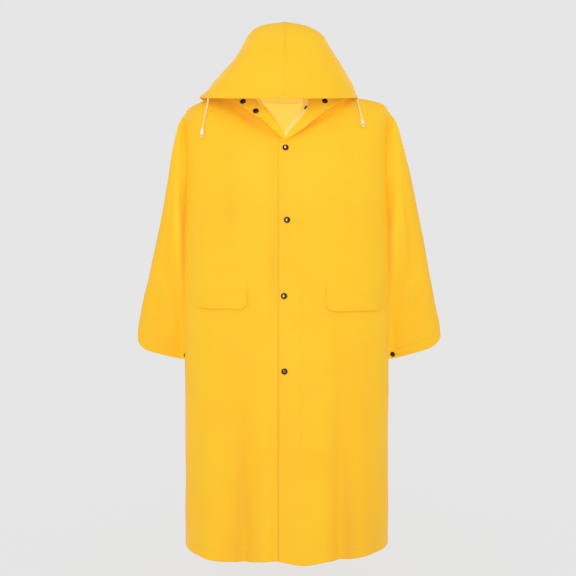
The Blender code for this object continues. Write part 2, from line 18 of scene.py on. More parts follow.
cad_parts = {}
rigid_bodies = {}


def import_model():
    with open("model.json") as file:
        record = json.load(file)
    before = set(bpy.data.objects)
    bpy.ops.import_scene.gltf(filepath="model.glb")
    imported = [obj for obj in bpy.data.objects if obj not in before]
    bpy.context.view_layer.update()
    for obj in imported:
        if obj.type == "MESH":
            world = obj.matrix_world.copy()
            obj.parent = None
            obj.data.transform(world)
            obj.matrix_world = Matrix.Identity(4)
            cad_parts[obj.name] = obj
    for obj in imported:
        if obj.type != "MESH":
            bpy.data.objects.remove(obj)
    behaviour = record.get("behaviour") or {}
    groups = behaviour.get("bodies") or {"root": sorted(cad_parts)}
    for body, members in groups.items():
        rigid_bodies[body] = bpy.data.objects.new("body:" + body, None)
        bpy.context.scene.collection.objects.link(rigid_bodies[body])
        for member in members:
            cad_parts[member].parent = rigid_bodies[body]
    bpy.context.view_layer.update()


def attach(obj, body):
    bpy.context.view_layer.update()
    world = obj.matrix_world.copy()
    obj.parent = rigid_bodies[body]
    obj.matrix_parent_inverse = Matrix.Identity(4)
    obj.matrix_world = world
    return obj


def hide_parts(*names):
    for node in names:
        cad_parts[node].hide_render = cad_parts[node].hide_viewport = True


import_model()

# %% [markdown]
# ## The camera
# A long coat is best seen from a few metres away, with the eye at the height of its elbows, so that its
# sides stay upright. A lens of about 60 mm on a 36 mm sensor does that.

# %% Camera
CAMERA_PLACE = (0.0035, -2.60, -0.40)
CAMERA_PITCH = math.radians(87.5)
CAMERA_LENS, CAMERA_SENSOR = 59.75, 36.0  # both in millimetres


def add_object(name, data):
    """New object in the scene."""
    made = bpy.data.objects.new(name, data)
    bpy.context.scene.collection.objects.link(made)
    return made


camera = add_object("camera", bpy.data.cameras.new("camera"))
camera.location = CAMERA_PLACE
camera.rotation_euler = (CAMERA_PITCH, 0.0, 0.0)
camera.data.lens, camera.data.sensor_width = CAMERA_LENS, CAMERA_SENSOR
bpy.context.scene.camera = camera
print("camera lens", CAMERA_LENS, "mm")

# %% [markdown]
# ## Smooth tables
# A cutter draws a garment from a few sizes at a few heights, and a flexible rule joins them. The helpers
# below are that rule: one runs a smooth curve through a table and never swings past its values, one is a
# soft step from 0 to 1, and one measures along a grid. All work on whole numpy arrays at once, which keeps
# a grid of thirty thousand points quick.

# %% Smooth curve and soft step
def smooth(knots, values, at):
    """Curve through rows of values at rising knots, read at many places."""
    knots, values, at = np.asarray(knots, float), np.asarray(values, float), np.asarray(at, float)
    at = np.clip(at, knots[0], knots[-1])
    tail = (1,) * (values.ndim - 1)
    steps = np.diff(values, axis=0) / np.diff(knots).reshape(-1, *tail)
    before, after = steps[:-1], steps[1:]
    same_way = before * after > 0.0
    inner = np.where(same_way, 2.0 * before * after / np.where(same_way, before + after, 1.0), 0.0)
    tangents = np.concatenate([steps[:1], inner, steps[-1:]])
    high = np.clip(np.searchsorted(knots, at), 1, len(knots) - 1)
    low = high - 1
    span = (knots[high] - knots[low]).reshape(at.shape + tail)
    t = (at - knots[low]).reshape(at.shape + tail) / span
    start = (1.0 - t) ** 2 * ((1.0 + 2.0 * t) * values[low] + t * span * tangents[low])
    end = t**2 * ((3.0 - 2.0 * t) * values[high] - (1.0 - t) * span * tangents[high])
    return start + end


def ease(share):
    """Soft step from 0 to 1."""
    share = np.clip(share, 0.0, 1.0)
    return share * share * (3.0 - 2.0 * share)


def lengths(points, axis):
    """Running length along the rows (axis 0) or the columns (axis 1) of a grid of points."""
    steps = np.linalg.norm(np.diff(points, axis=axis), axis=-1)
    start = np.zeros_like(np.take(steps, [0], axis=axis))
    return np.concatenate([start, np.cumsum(steps, axis=axis)], axis=axis)


print("halfway up a soft step:", float(ease(0.5)))

# %% [markdown]
# ## The body as a stack of rings
# A worn coat is a tube round the wearer: broad and flat at the hem, deep at the chest, and closing over
# the shoulders to the neck. Each row of the table is one ring, measured on the cloth's inner face. A ring
# is a rounded square, because cloth over a chest is flatter than an oval. The same table shapes the solid
# frame, so the fine cloth lies on it.

# %% Rings of the body
WALL = 0.0015  # thickness of the cloth with its turned edges
SEAM_GAP = 0.0003

Ring = namedtuple("Ring", "side_z front_z back_z half_width front_depth back_depth square")
TORSO_RINGS = (
    Ring(-1.200, -1.205, -1.200, 0.2732, 0.186, 0.166, 2.7),  # hem
    Ring(-0.950, -0.952, -0.950, 0.2730, 0.178, 0.160, 2.7),  # knee
    Ring(-0.720, -0.720, -0.720, 0.2730, 0.170, 0.156, 2.7),  # seat
    Ring(-0.520, -0.520, -0.520, 0.2730, 0.163, 0.152, 2.7),  # waist
    Ring(-0.336, -0.340, -0.336, 0.2730, 0.156, 0.148, 2.8),  # underarm
    Ring(-0.230, -0.250, -0.230, 0.2730, 0.148, 0.145, 2.9),  # chest
    Ring(-0.120, -0.168, -0.132, 0.2728, 0.136, 0.136, 2.75),  # yoke
    Ring(-0.034, -0.118, -0.074, 0.2715, 0.121, 0.120, 2.5),  # shoulder point
    Ring(-0.0175, -0.101, -0.055, 0.2560, 0.112, 0.110, 2.35),
    Ring(-0.0075, -0.084, -0.036, 0.2200, 0.102, 0.101, 2.2),
    Ring(-0.0010, -0.069, -0.019, 0.1700, 0.092, 0.092, 2.15),
    Ring(0.0080, -0.053, -0.004, 0.1150, 0.082, 0.083, 2.1),  # neck
)
TORSO = np.array(TORSO_RINGS)
TORSO_STEPS = np.hypot(np.diff(TORSO[:, 0]), np.diff(TORSO[:, 3]))
TORSO_LENGTHS = np.concatenate([[0.0], np.cumsum(TORSO_STEPS)])
UNDERARM, SHOULDER, NECK = TORSO_LENGTHS[4], TORSO_LENGTHS[7], TORSO_LENGTHS[-1]
HEM_Z, WAIST_HALF_WIDTH = TORSO_RINGS[0].front_z, TORSO_RINGS[3].half_width
print("hem to underarm", round(UNDERARM, 3), "m, hem to neck", round(NECK, 3), "m")

# %% [markdown]
# ## The largest folds
# Cloth that is cut wider than the wearer hangs in folds. Each starts as nothing at some height and grows
# down to the hem. A fold here is a soft trough or ridge along a straight line, with its own start, width
# and depth, and no two are alike. Where a ridge reaches the hem it also pulls the hem a little lower.

# %% Folds of the body
FRONT, BACK = 1.0, -1.0
Fold = namedtuple("Fold", "face top_x top_z low_x low_z half_width depth to_hem")
FOLDS = (
    Fold(FRONT, -0.118, -0.66, -0.110, -1.205, 0.030, -0.012, True),
    Fold(FRONT, 0.128, -0.56, 0.136, -1.205, 0.034, -0.016, True),
    Fold(FRONT, 0.020, -0.84, 0.045, -1.205, 0.050, 0.020, True),
    Fold(FRONT, -0.195, -0.74, -0.200, -1.205, 0.036, 0.007, True),
    Fold(FRONT, 0.196, -0.62, 0.204, -1.205, 0.036, 0.006, True),
    Fold(FRONT, -0.160, -0.15, -0.150, -0.47, 0.022, -0.005, False),
    Fold(BACK, -0.160, -0.50, -0.168, -1.205, 0.036, -0.014, True),
    Fold(BACK, -0.036, -0.62, -0.048, -1.205, 0.050, 0.018, True),
    Fold(BACK, 0.066, -0.54, 0.078, -1.205, 0.036, -0.015, True),
    Fold(BACK, 0.170, -0.70, 0.178, -1.205, 0.040, 0.009, True),
)
HEM_DIP, HEM_DIP_HEIGHT = 0.2, 0.15  # share of a ridge by which the hem sinks, and the height it fades in


def folds_at(is_front, x, z):
    """How far the folds push the cloth out."""
    total = np.zeros(np.shape(x))
    for fold in FOLDS:
        down = (fold.top_z - z) / (fold.top_z - fold.low_z)
        centre = fold.top_x + (fold.low_x - fold.top_x) * down
        strength = ease(down) if fold.to_hem else np.sin(np.pi * np.clip(down, 0.0, 1.0)) ** 2
        here = is_front == (fold.face == FRONT)
        total += here * fold.depth * strength * np.exp(-(((x - centre) / fold.half_width) ** 2))
    return total


print(len(FOLDS), "large folds, the deepest", 1000 * max(abs(fold.depth) for fold in FOLDS), "mm")

# %% [markdown]
# A place on the body is given by an angle round it and a length up the cloth from the hem. To turn the two
# into a point, the ring is read at that length, followed round to the angle, and pushed out by the folds. The
# direction out of the cloth is measured with two small steps, one round the body and one up it.

# %% Points of the body
FOLD_FADE = 1.6  # how fast the folds grow away from the side seams
NORMAL_STEP = 0.002  # half the distance over which a direction is measured


def unit_ring(angle, square):
    """Rounded square of half size 1, at an angle from +X towards the front."""
    across, forward = np.cos(angle), np.sin(angle)
    reach = (np.abs(across) ** square + np.abs(forward) ** square) ** (-1.0 / square)
    return across * reach, forward * reach


def body(angle, line):
    """Points of the body's inner face, at angles from +X to the front and lengths up from the hem."""
    angle, line = np.broadcast_arrays(angle, line)
    side_z, front_z, back_z, half_width, front_depth, back_depth, square = (
        smooth(TORSO_LENGTHS, column, line) for column in TORSO.T
    )
    across, forward = unit_ring(angle, square)
    is_front = forward > 0.0
    depth, end_z = np.where(is_front, front_depth, back_depth), np.where(is_front, front_z, back_z)
    x, y = half_width * across, -depth * forward
    z = side_z + (end_z - side_z) * forward**2
    out_x = np.copysign(np.abs(across) ** (square - 1.0) / half_width, across)
    out_y = -np.copysign(np.abs(forward) ** (square - 1.0) / depth, forward)
    size = np.hypot(out_x, out_y)
    push = folds_at(is_front, x, z) * np.minimum(1.0, np.abs(forward) * FOLD_FADE)
    dip = HEM_DIP * np.maximum(push, 0.0) * ease(1.0 - (z - HEM_Z) / HEM_DIP_HEIGHT)
    return np.stack([x + out_x / size * push, y + out_y / size * push, z - dip], axis=-1)


def unit(vectors):
    """Vectors brought to length 1."""
    return vectors / np.maximum(np.linalg.norm(vectors, axis=-1, keepdims=True), 1e-12)


def body_normal(angle, line):
    """Directions straight out of the body's cloth."""
    round_way = body(angle + NORMAL_STEP, line) - body(angle - NORMAL_STEP, line)
    higher, lower = np.minimum(line + NORMAL_STEP, NECK), np.maximum(line - NORMAL_STEP, 0.0)
    return unit(np.cross(body(angle, higher) - body(angle, lower), round_way))


hem_ring = body(np.linspace(0.0, 2.0 * math.pi, 361), 0.0)
print("round the hem:", round(float(lengths(hem_ring[None], 1)[0, -1]), 3), "m")

# %% [markdown]
# ## Creases
# Coated cloth is stiff for its weight. It keeps long packing creases, breaks into short dents near a
# snap, and pulls in shallow lines from the armpit to the chest. These are too fine for the solid frame,
# and cloth simulation would lose the tidy, pressed look of a new coat, so they are listed one by one. A
# crease runs between two places on its face, may bow to one side, and fades at its ends unless it runs out
# over the hem. A crisp one has a narrow bend, like a fold that was pressed in a packet.

# %% Creases of the body
Crease = namedtuple("Crease", "face x0 z0 x1 z1 bow width depth crisp runs_out")
BODY_CREASES = (
    # long packing creases down the skirt
    Crease(FRONT, -0.113, -0.60, -0.108, -1.21, 0.003, 0.012, -0.0035, 0.6, True),
    Crease(FRONT, -0.044, -0.74, -0.052, -1.21, -0.004, 0.022, 0.0035, 0.0, True),
    Crease(FRONT, 0.104, -0.50, 0.110, -1.21, 0.003, 0.020, 0.0040, 0.0, True),
    Crease(FRONT, 0.131, -0.46, 0.137, -1.21, -0.002, 0.009, -0.0030, 0.8, True),
    Crease(FRONT, 0.215, -0.66, 0.222, -1.21, 0.005, 0.018, -0.0030, 0.2, True),
    Crease(FRONT, -0.222, -0.80, -0.226, -1.21, -0.003, 0.016, -0.0025, 0.2, True),
    # chest and waist
    Crease(FRONT, -0.147, -0.10, -0.142, -0.45, 0.005, 0.008, -0.0018, 0.5, False),
    Crease(FRONT, -0.200, -0.20, -0.120, -0.118, 0.008, 0.012, -0.0022, 0.2, False),
    Crease(FRONT, -0.214, -0.27, -0.130, -0.215, 0.010, 0.014, 0.0020, 0.0, False),
    Crease(FRONT, 0.206, -0.20, 0.128, -0.122, -0.008, 0.012, -0.0022, 0.2, False),
    Crease(FRONT, 0.218, -0.30, 0.150, -0.245, -0.008, 0.013, 0.0018, 0.0, False),
    Crease(FRONT, 0.150, -0.16, 0.165, -0.44, -0.006, 0.012, -0.0016, 0.3, False),
    Crease(FRONT, -0.017, -0.376, -0.072, -0.384, 0.003, 0.006, -0.0012, 0.4, False),
    Crease(FRONT, 0.016, -0.36, 0.014, -0.50, 0.003, 0.007, -0.0010, 0.3, False),
    Crease(FRONT, -0.012, -0.585, -0.082, -0.610, 0.004, 0.008, -0.0012, 0.3, False),
    Crease(FRONT, 0.018, -0.56, 0.013, -0.66, -0.002, 0.007, -0.0012, 0.4, False),
    Crease(FRONT, 0.020, -0.77, 0.072, -0.80, 0.004, 0.009, -0.0014, 0.3, False),
    Crease(FRONT, -0.205, -0.60, -0.140, -0.64, 0.005, 0.012, 0.0018, 0.0, False),
    Crease(FRONT, 0.215, -0.585, 0.160, -0.625, -0.005, 0.012, 0.0018, 0.0, False),
    # hollows under the collar's leaves and beside the placket
    Crease(FRONT, -0.168, -0.018, -0.018, -0.126, 0.000, 0.014, -0.0070, 0.2, False),
    Crease(FRONT, 0.142, -0.034, -0.002, -0.124, 0.000, 0.010, -0.0050, 0.3, False),
    Crease(FRONT, -0.033, -0.360, -0.033, -0.570, 0.000, 0.009, -0.0026, 0.3, False),
    # back: skirt
    Crease(BACK, -0.163, -0.46, -0.170, -1.21, 0.004, 0.012, -0.0034, 0.6, True),
    Crease(BACK, -0.096, -0.66, -0.104, -1.21, -0.004, 0.020, 0.0036, 0.0, True),
    Crease(BACK, 0.012, -0.58, 0.016, -1.21, 0.003, 0.014, -0.0030, 0.4, True),
    Crease(BACK, 0.072, -0.48, 0.080, -1.21, -0.003, 0.010, -0.0032, 0.7, True),
    Crease(BACK, 0.128, -0.74, 0.132, -1.21, 0.004, 0.022, 0.0034, 0.0, True),
    Crease(BACK, 0.222, -0.62, 0.226, -1.21, -0.003, 0.016, -0.0026, 0.2, True),
    # back: between the shoulder blades, from the armholes, and at the waist
    Crease(BACK, -0.205, -0.17, -0.112, -0.190, 0.010, 0.014, -0.0026, 0.2, False),
    Crease(BACK, -0.212, -0.27, -0.100, -0.330, -0.012, 0.016, 0.0024, 0.0, False),
    Crease(BACK, 0.208, -0.19, 0.120, -0.235, -0.009, 0.014, -0.0025, 0.2, False),
    Crease(BACK, 0.214, -0.29, 0.136, -0.36, 0.010, 0.015, 0.0022, 0.0, False),
    Crease(BACK, -0.060, -0.16, -0.074, -0.47, 0.006, 0.014, -0.0022, 0.2, False),
    Crease(BACK, 0.052, -0.13, 0.044, -0.40, -0.006, 0.013, -0.0020, 0.2, False),
    Crease(BACK, -0.13, -0.48, -0.02, -0.515, 0.010, 0.015, -0.0022, 0.1, False),
    Crease(BACK, 0.16, -0.47, 0.09, -0.50, -0.006, 0.013, -0.0018, 0.1, False),
)
print(len(BODY_CREASES), "hand-placed creases on the body")

# %% [markdown]
# The push of a crease is its depth, faded along its length and beside its line. A soft crease fades beside
# its line as a bell curve does, and a crisp one keeps a sharper top.

# %% Depth of the creases
FADE_POWER, BEND_TIGHTNESS = 1.2, 2.2  # how quickly a crease dies away along its length and beside it


def creases_at(creases, across, up):
    """How far a list of creases pushes the cloth out, at places across and up a face."""
    total = np.zeros(np.shape(across))
    for crease in creases:
        run, rise = crease.x1 - crease.x0, crease.z1 - crease.z0
        length = math.hypot(run, rise)
        along = ((across - crease.x0) * run + (up - crease.z0) * rise) / length**2
        beside = ((across - crease.x0) * rise - (up - crease.z0) * run) / length
        beside = beside - crease.bow * 4.0 * along * (1.0 - along)
        far = 0.5 if crease.runs_out else 1.0
        fade = np.sin(np.pi * np.clip(along * far, 0.0, far)) ** FADE_POWER
        soft = np.exp(-((beside / crease.width) ** 2))
        bend = 1.0 / np.cosh(BEND_TIGHTNESS * beside / crease.width)
        total += crease.depth * fade * ((1.0 - crease.crisp) * soft + crease.crisp * bend)
    return total


def creases_on(creases, is_front, x, z):
    """The same for a list with creases of both faces, each counted only on its own face."""
    front, back = (creases_at([c for c in creases if c.face == face], x, z) for face in (FRONT, BACK))
    return np.where(is_front, front, back)


def off_the_sides(angle, quickness):
    """Soft share that is 0 on the side seams, so that what two panels do there agrees."""
    return ease(np.abs(np.sin(angle)) * quickness)


print("deepest crease:", 1000 * max(abs(crease.depth) for crease in BODY_CREASES), "mm")

# %% [markdown]
# Light and shade are also painted into the colour of the cloth. Bands placed like creases paint shade along
# the folds, under the collar's leaves and beside the placket, and painted light on the other side of some
# folds. Their depth is a tone: below 0 is deeper, above 0 is lighter. Hollows are painted deeper and ridges
# lighter, and the colour is painted deeper towards the hem.

# %% Painted shade and light bands of the body
PAINTED_SHADE_AND_LIGHT_BANDS = (
    # painted shade and light along the folds of the front
    Crease(FRONT, 0.196, -0.46, 0.206, -1.26, 0.0, 0.056, -1.0, 0.0, True),
    Crease(FRONT, 0.098, -0.36, 0.104, -1.26, 0.0, 0.030, 0.7, 0.0, True),
    Crease(FRONT, 0.006, -0.62, 0.010, -1.26, 0.0, 0.024, -0.5, 0.0, True),
    Crease(FRONT, -0.046, -0.62, -0.050, -1.26, 0.0, 0.020, 0.6, 0.0, True),
    Crease(FRONT, -0.104, -0.56, -0.108, -1.26, 0.0, 0.010, -0.3, 0.3, True),
    Crease(FRONT, -0.108, -0.90, -0.108, -1.26, 0.0, 0.016, 0.9, 0.0, True),
    Crease(FRONT, 0.136, -0.74, 0.138, -1.26, 0.0, 0.014, 1.1, 0.0, True),
    Crease(FRONT, 0.100, -0.10, 0.130, -0.34, 0.0, 0.070, 0.7, 0.0, False),
    Crease(FRONT, -0.030, -0.34, -0.030, -0.60, 0.0, 0.012, -0.7, 0.2, False),
    # a painted shadow line beside the placket's lapped edge, and a lighter strip beside it
    Crease(FRONT, -0.0215, 0.90, -0.0215, -1.26, 0.0, 0.0022, -1.8, 0.0, True),
    Crease(FRONT, -0.0280, 0.90, -0.0280, -1.26, 0.0, 0.0050, 1.2, 0.0, True),
    # painted shadows under both of the collar's leaves, and painted light below the brim's end on the
    # wearer's right
    Crease(FRONT, -0.168, -0.012, -0.018, -0.122, 0.0, 0.016, -2.4, 0.0, False),
    Crease(FRONT, -0.222, -0.024, -0.178, -0.034, 0.0, 0.018, 2.0, 0.0, False),
    Crease(FRONT, 0.140, -0.036, -0.004, -0.124, 0.0, 0.011, -2.2, 0.0, False),
    # painted shade and light along the folds of the back
    Crease(BACK, -0.190, -0.50, -0.198, -1.26, 0.0, 0.050, -0.8, 0.0, True),
    Crease(BACK, -0.092, -0.40, -0.100, -1.26, 0.0, 0.030, 0.6, 0.0, True),
    Crease(BACK, 0.040, -0.56, 0.046, -1.26, 0.0, 0.028, -0.5, 0.0, True),
    Crease(BACK, 0.130, -0.46, 0.136, -1.26, 0.0, 0.032, 0.6, 0.0, True),
)
# painted shade: the colour deepens per metre of drop and again near the hem, and is lighter higher up
DEEP_PER_DROP, DEEP_HEM = 0.9, 0.8  # how much deeper the cloth gets per metre of drop, and towards the hem
EVEN_TONE_Z, HEM_TONE_Z, HEM_TONE_REACH = -0.45, -0.70, 0.45
FULL_RELIEF = 0.008  # a ridge this high, or a trough this deep, has its full tone
BODY_FADE = 3.0


def painted_body_light_and_shade(points, normal, plain, angle):
    """Painted shade and light of each place on the body: bands, folds and creases, and a slow change that is
    deeper towards the hem.
    """
    x, z, is_front = plain[..., 0], plain[..., 2], np.sin(angle) > 0.0
    bands = creases_on(PAINTED_SHADE_AND_LIGHT_BANDS, is_front, x, z) * off_the_sides(angle, BODY_FADE)
    relief = folds_at(is_front, x, z) + ((points - plain) * normal).sum(axis=-1)
    painted_relief_shade = np.clip(relief / FULL_RELIEF, -1.0, 1.0) * (2.0 - is_front)  # twice as strong on the back
    drop = DEEP_PER_DROP * (z - EVEN_TONE_Z) - DEEP_HEM * ease((HEM_TONE_Z - z) / HEM_TONE_REACH)
    return bands + painted_relief_shade + drop


print(len(PAINTED_SHADE_AND_LIGHT_BANDS), "tone bands")

# %% [markdown]
# ## Small unevenness
# Even a smooth stretch of cloth is never quite even. Blender's noise function moves each point by under a
# millimetre, in waves of a hand's breadth and of a finger's breadth. The noise is read at the point's own
# place, so two panels that meet at a seam move alike.

# %% Waves in the cloth
Wave = namedtuple("Wave", "size depth seed")
BODY_WAVES = (Wave(0.110, 0.0014, 1), Wave(0.038, 0.0005, 2))
SEED_SHIFT = (3.1, 1.7, 2.3)  # each seed reads the noise at another place
VALLEY_DEPTH, VALLEY_WIDTH = 0.0009, 0.004


def waves(points, kinds):
    """Smooth noise at each point, summed over kinds of waves."""
    total = np.zeros(points.shape[:-1])
    for kind in kinds:
        shift = Vector([kind.seed * step for step in SEED_SHIFT])
        flat = points.reshape(-1, 3) / kind.size
        values = [noise.noise(Vector(point) + shift) for point in flat.tolist()]
        total += kind.depth * np.array(values).reshape(total.shape)
    return total


def seam_valley(distance):
    """How far the cloth sinks beside a seam."""
    return -VALLEY_DEPTH * np.exp(-((distance / VALLEY_WIDTH) ** 2))


SAMPLE = np.linspace(0.3, 2.8, 40)[None], np.linspace(0.0, 0.8, 40)[:, None]  # angles and lengths up
print("waves reach", round(float(np.abs(waves(body(*SAMPLE), BODY_WAVES)).max()) * 1000, 2), "mm")

# %% [markdown]
# ## The coat's surface
# One function gives any place on the finished body: the plain ring, then the creases, the waves, the
# valleys at the seams, and a shallow dimple where each snap grips the cloth. The front hem is not level
# either. Its line is a small table, because a coat is hemmed before it hangs. The wearer's right shoulder
# also slopes a little more.

# %% Creased body with its hem line
FRONT_HEM = ((-0.274, -0.002), (-0.240, -0.004), (-0.200, -0.006), (-0.155, -0.008), (-0.110, -0.008),
             (-0.070, -0.004), (-0.025, 0.000), (0.010, -0.001), (0.045, -0.002), (0.080, -0.002),
             (0.115, -0.005), (0.165, -0.003), (0.205, 0.002), (0.235, 0.003), (0.274, 0.000))
FRONT_SNAPS = ((-0.0028, -0.147), (0.0010, -0.333), (-0.0067, -0.527), (-0.0055, -0.7195))
DIMPLE_DEPTH, DIMPLE_WIDTH = 0.0010, 0.014
RIPPLE_DEPTH, RIPPLE_REACH, RIPPLE_WIDTH, RIPPLES, RIPPLE_TURN = 0.00035, 0.020, 0.010, 4.0, 30.0
LOW_SHOULDER, LOW_SHOULDER_X, LOW_SHOULDER_Z = 0.0085, -0.205, -0.150
LOW_SHOULDER_ACROSS, LOW_SHOULDER_UP = 0.060, 0.090  # distances in which the slope sets in
SIDE_EASE, SIDE_EASE_HEIGHT = 0.0010, 0.2  # the sides stand wider, so that hollows do not narrow the coat
HALF_THROUGH = 0.15  # roughly half the coat's depth, which turns an angle into a distance from the side
HEM_FADE, HEM_LINE_HEIGHT = 4.0, 0.18


def low_shoulder(point):
    """How far the wearer's right shoulder hangs lower than the left one."""
    x, z = point[..., 0], point[..., 2]
    out = ease((LOW_SHOULDER_X - x) / LOW_SHOULDER_ACROSS)
    return LOW_SHOULDER * out * ease((z - LOW_SHOULDER_Z) / LOW_SHOULDER_UP)


def dimples(point):
    """How far the snaps press the cloth in, with short ripples round them."""
    total = np.zeros(point.shape[:-1])
    for x, z in FRONT_SNAPS:
        across, up = point[..., 0] - x, point[..., 2] - z
        reach, turn = np.hypot(across, up), np.arctan2(up, across)
        total -= DIMPLE_DEPTH * np.exp(-((reach / DIMPLE_WIDTH) ** 2))
        ring = np.exp(-(((reach - RIPPLE_REACH) / RIPPLE_WIDTH) ** 2))
        total += RIPPLE_DEPTH * ring * np.cos(RIPPLES * turn + RIPPLE_TURN * z)
    return total


def coat(angle, line):
    """Points of the creased body, and the directions out of it."""
    angle, line = np.broadcast_arrays(angle, line)
    point, normal = body(angle, line), body_normal(angle, line)
    is_front = np.sin(angle) > 0.0
    x, z = point[..., 0], point[..., 2]
    push = creases_on(BODY_CREASES, is_front, x, z) + is_front * dimples(point)
    push = push * off_the_sides(angle, BODY_FADE) + SIDE_EASE * ease((UNDERARM - line) / SIDE_EASE_HEIGHT)
    push += waves(point, BODY_WAVES)
    push += seam_valley(HALF_THROUGH * np.sin(angle)) * ease((UNDERARM - line) / 0.01 + 1.0)
    hem_x, hem_z = np.array(FRONT_HEM).T
    drop = np.where(is_front, smooth(hem_x, hem_z, x), 0.0) * ease(1.0 - line / HEM_LINE_HEIGHT)
    point = point + normal * push[..., None]
    point[..., 2] += drop * off_the_sides(angle, HEM_FADE) - low_shoulder(point)
    return point, normal


moved = np.abs(coat(*SAMPLE)[0] - body(*SAMPLE))
print("furthest from the plain body:", round(float(moved.max()) * 1000, 1), "mm")

# %% [markdown]
# ## Outlines of the panels
# A front runs from the side seam to its centre edge. Low down that edge is the placket, where the
# wearer's left front laps over the right one. Above it, the edge follows the open neck. The armhole bites
# into the side of each panel as one half of an oval.

# %% Armholes
LEFT, RIGHT = 1.0, -1.0  # the wearer's sides
ARMHOLE_ANGLE, ARMHOLE_HALF_WIDTH = math.radians(25.0), 0.10
ARMHOLE_MIDDLE, ARMHOLE_HALF = 0.5 * (UNDERARM + SHOULDER), 0.5 * (SHOULDER - UNDERARM)


def own_angle(side, angle):
    """Angle from +X, from an angle measured from the panel's own side."""
    return angle if side == LEFT else np.pi - angle


def armhole_edge(line):
    """Angle of the armhole's edge from the side line."""
    share = np.clip((line - ARMHOLE_MIDDLE) / ARMHOLE_HALF, -1.0, 1.0)
    return ARMHOLE_ANGLE * np.sqrt(1.0 - share * share)


def from_armhole(own, line):
    """Rough distance from the armhole's edge, at angles from the side line."""
    across, up = own / ARMHOLE_ANGLE, (line - ARMHOLE_MIDDLE) / ARMHOLE_HALF
    return (np.hypot(across, up) - 1.0) * ARMHOLE_HALF_WIDTH


print("armholes are", round(2.0 * ARMHOLE_HALF, 3), "m high along the cloth")

# %% [markdown]
# On a curved surface it is easiest to search for the edge of the neck opening: halve the range again and
# again until the point lies on the line. numpy does this for all rows at once.

# %% Centre edges of the fronts
LEFT_EDGE, RIGHT_EDGE = math.radians(94.0), math.radians(97.6)
PIVOT = math.radians(69.3)  # columns nearer the side than this keep their angles below the opening
FOOT_DROP = 0.002  # the columns are fully fanned this much below the opening's lowest point
HALVINGS = 40
VPoint = namedtuple("VPoint", "outward z")
LEFT_V = (VPoint(-0.036, -0.150), VPoint(0.000, -0.121), VPoint(0.028, -0.094), VPoint(0.054, -0.059),
          VPoint(0.068, -0.038), VPoint(0.075, 0.000), VPoint(0.300, 0.060))
RIGHT_V = (VPoint(-0.036, -0.150), VPoint(0.000, -0.124), VPoint(0.043, -0.073), VPoint(0.072, -0.052),
           VPoint(0.108, -0.024), VPoint(0.300, 0.060))


def front_edge(side, line):
    """Angle of a front's centre edge on each row, and whether it is the neck opening's edge there."""
    edge, v_line = (LEFT_EDGE, LEFT_V) if side == LEFT else (RIGHT_EDGE, RIGHT_V)
    outward, v_z = np.array(v_line).T

    def over_v(angle):
        point = body(own_angle(side, angle), line)
        return point[..., 2] - smooth(outward, v_z, side * point[..., 0])

    low, high = armhole_edge(line), np.full(np.shape(line), edge)
    in_v = over_v(high) > 0.0
    for _ in range(HALVINGS):
        middle = 0.5 * (low + high)
        over = over_v(middle) > 0.0
        low, high = np.where(over, low, middle), np.where(over, middle, high)
    return np.where(in_v, 0.5 * (low + high), edge), in_v


def opening_foot(side):
    """Length up from the hem at which a front's edge leaves the placket for the neck opening."""
    lines = np.linspace(UNDERARM, NECK, 400)
    return lines[np.argmax(front_edge(side, lines)[1])]


def front_angles(side, line, nominal):
    """Angles of a front's columns on each row. They fan out evenly beside the neck opening."""
    start, (edge, _) = armhole_edge(line)[:, None], front_edge(side, line)
    plain = np.where(nominal <= PIVOT, start + (PIVOT - start) * nominal / PIVOT, nominal)
    fanned = start + (edge[:, None] - start) * nominal / nominal[-1]
    share = ease((line - UNDERARM) / (opening_foot(side) - FOOT_DROP - UNDERARM))[:, None]
    return plain + (fanned - plain) * share


print("neck opening starts", round(float(NECK - opening_foot(LEFT)), 3), "m below the neck")

# %% [markdown]
# ## Rows, columns and pressed lines
# Coated cloth is joined by heat: a hot rail presses a narrow line into it. The line beside the placket,
# along the hem and round the cuffs is such a weld. A weld is only 2 mm wide, far finer than the grid, so
# each one gets five rows or columns of its own and a real groove, not only a bump in the material.

# %% Grid lines with room for the welds
CELL = 0.0048
WELD_WIDTH, WELD_DEPTH = 0.0014, 0.0004
WELD_OFFSETS = (-0.0030, -0.0015, 0.0, 0.0015, 0.0030)
WELD_ROOM = 1.6  # an even place closer to a weld than this many outer offsets is left out
HEM_WELD, PLACKET_WELD_X, CUFF_WELD, BRIM_WELD = 0.024, 0.0380, 0.026, 0.022
ARM_ROWS, TOP_ROWS, ARM_CROWDING = 72, 38, 0.65  # crowding gathers the rows at both ends of the armhole


def with_welds(places, welds, per_metre=1.0):
    """Even places plus five close ones at each weld."""
    near = WELD_ROOM * WELD_OFFSETS[-1] * per_metre
    kept = [place for place in places if all(abs(place - weld) > near for weld in welds)]
    close = [weld + offset * per_metre for weld in welds for offset in WELD_OFFSETS]
    return np.array(sorted(kept + close))


def pressed(distance):
    """Depth of a weld's groove beside its line."""
    return -WELD_DEPTH * np.exp(-((distance / WELD_WIDTH) ** 2))


skirt_rows = with_welds(np.linspace(0.0, UNDERARM, round(UNDERARM / CELL), endpoint=False), [HEM_WELD])
arm_shares = np.linspace(0.0, 1.0, ARM_ROWS)
crowded = 0.5 - 0.5 * np.cos(math.pi * arm_shares)
arm_rows = UNDERARM + (SHOULDER - UNDERARM) * ((1.0 - ARM_CROWDING) * arm_shares + ARM_CROWDING * crowded)
top_rows = np.linspace(SHOULDER, NECK, TOP_ROWS)[1:]
BODY_ROWS = np.concatenate([skirt_rows, arm_rows, top_rows])
RADIANS_PER_METRE = 1.0 / WAIST_HALF_WIDTH
PLACKET_WELD = math.acos(PLACKET_WELD_X / WAIST_HALF_WIDTH)
print(len(BODY_ROWS), "rows on the body")

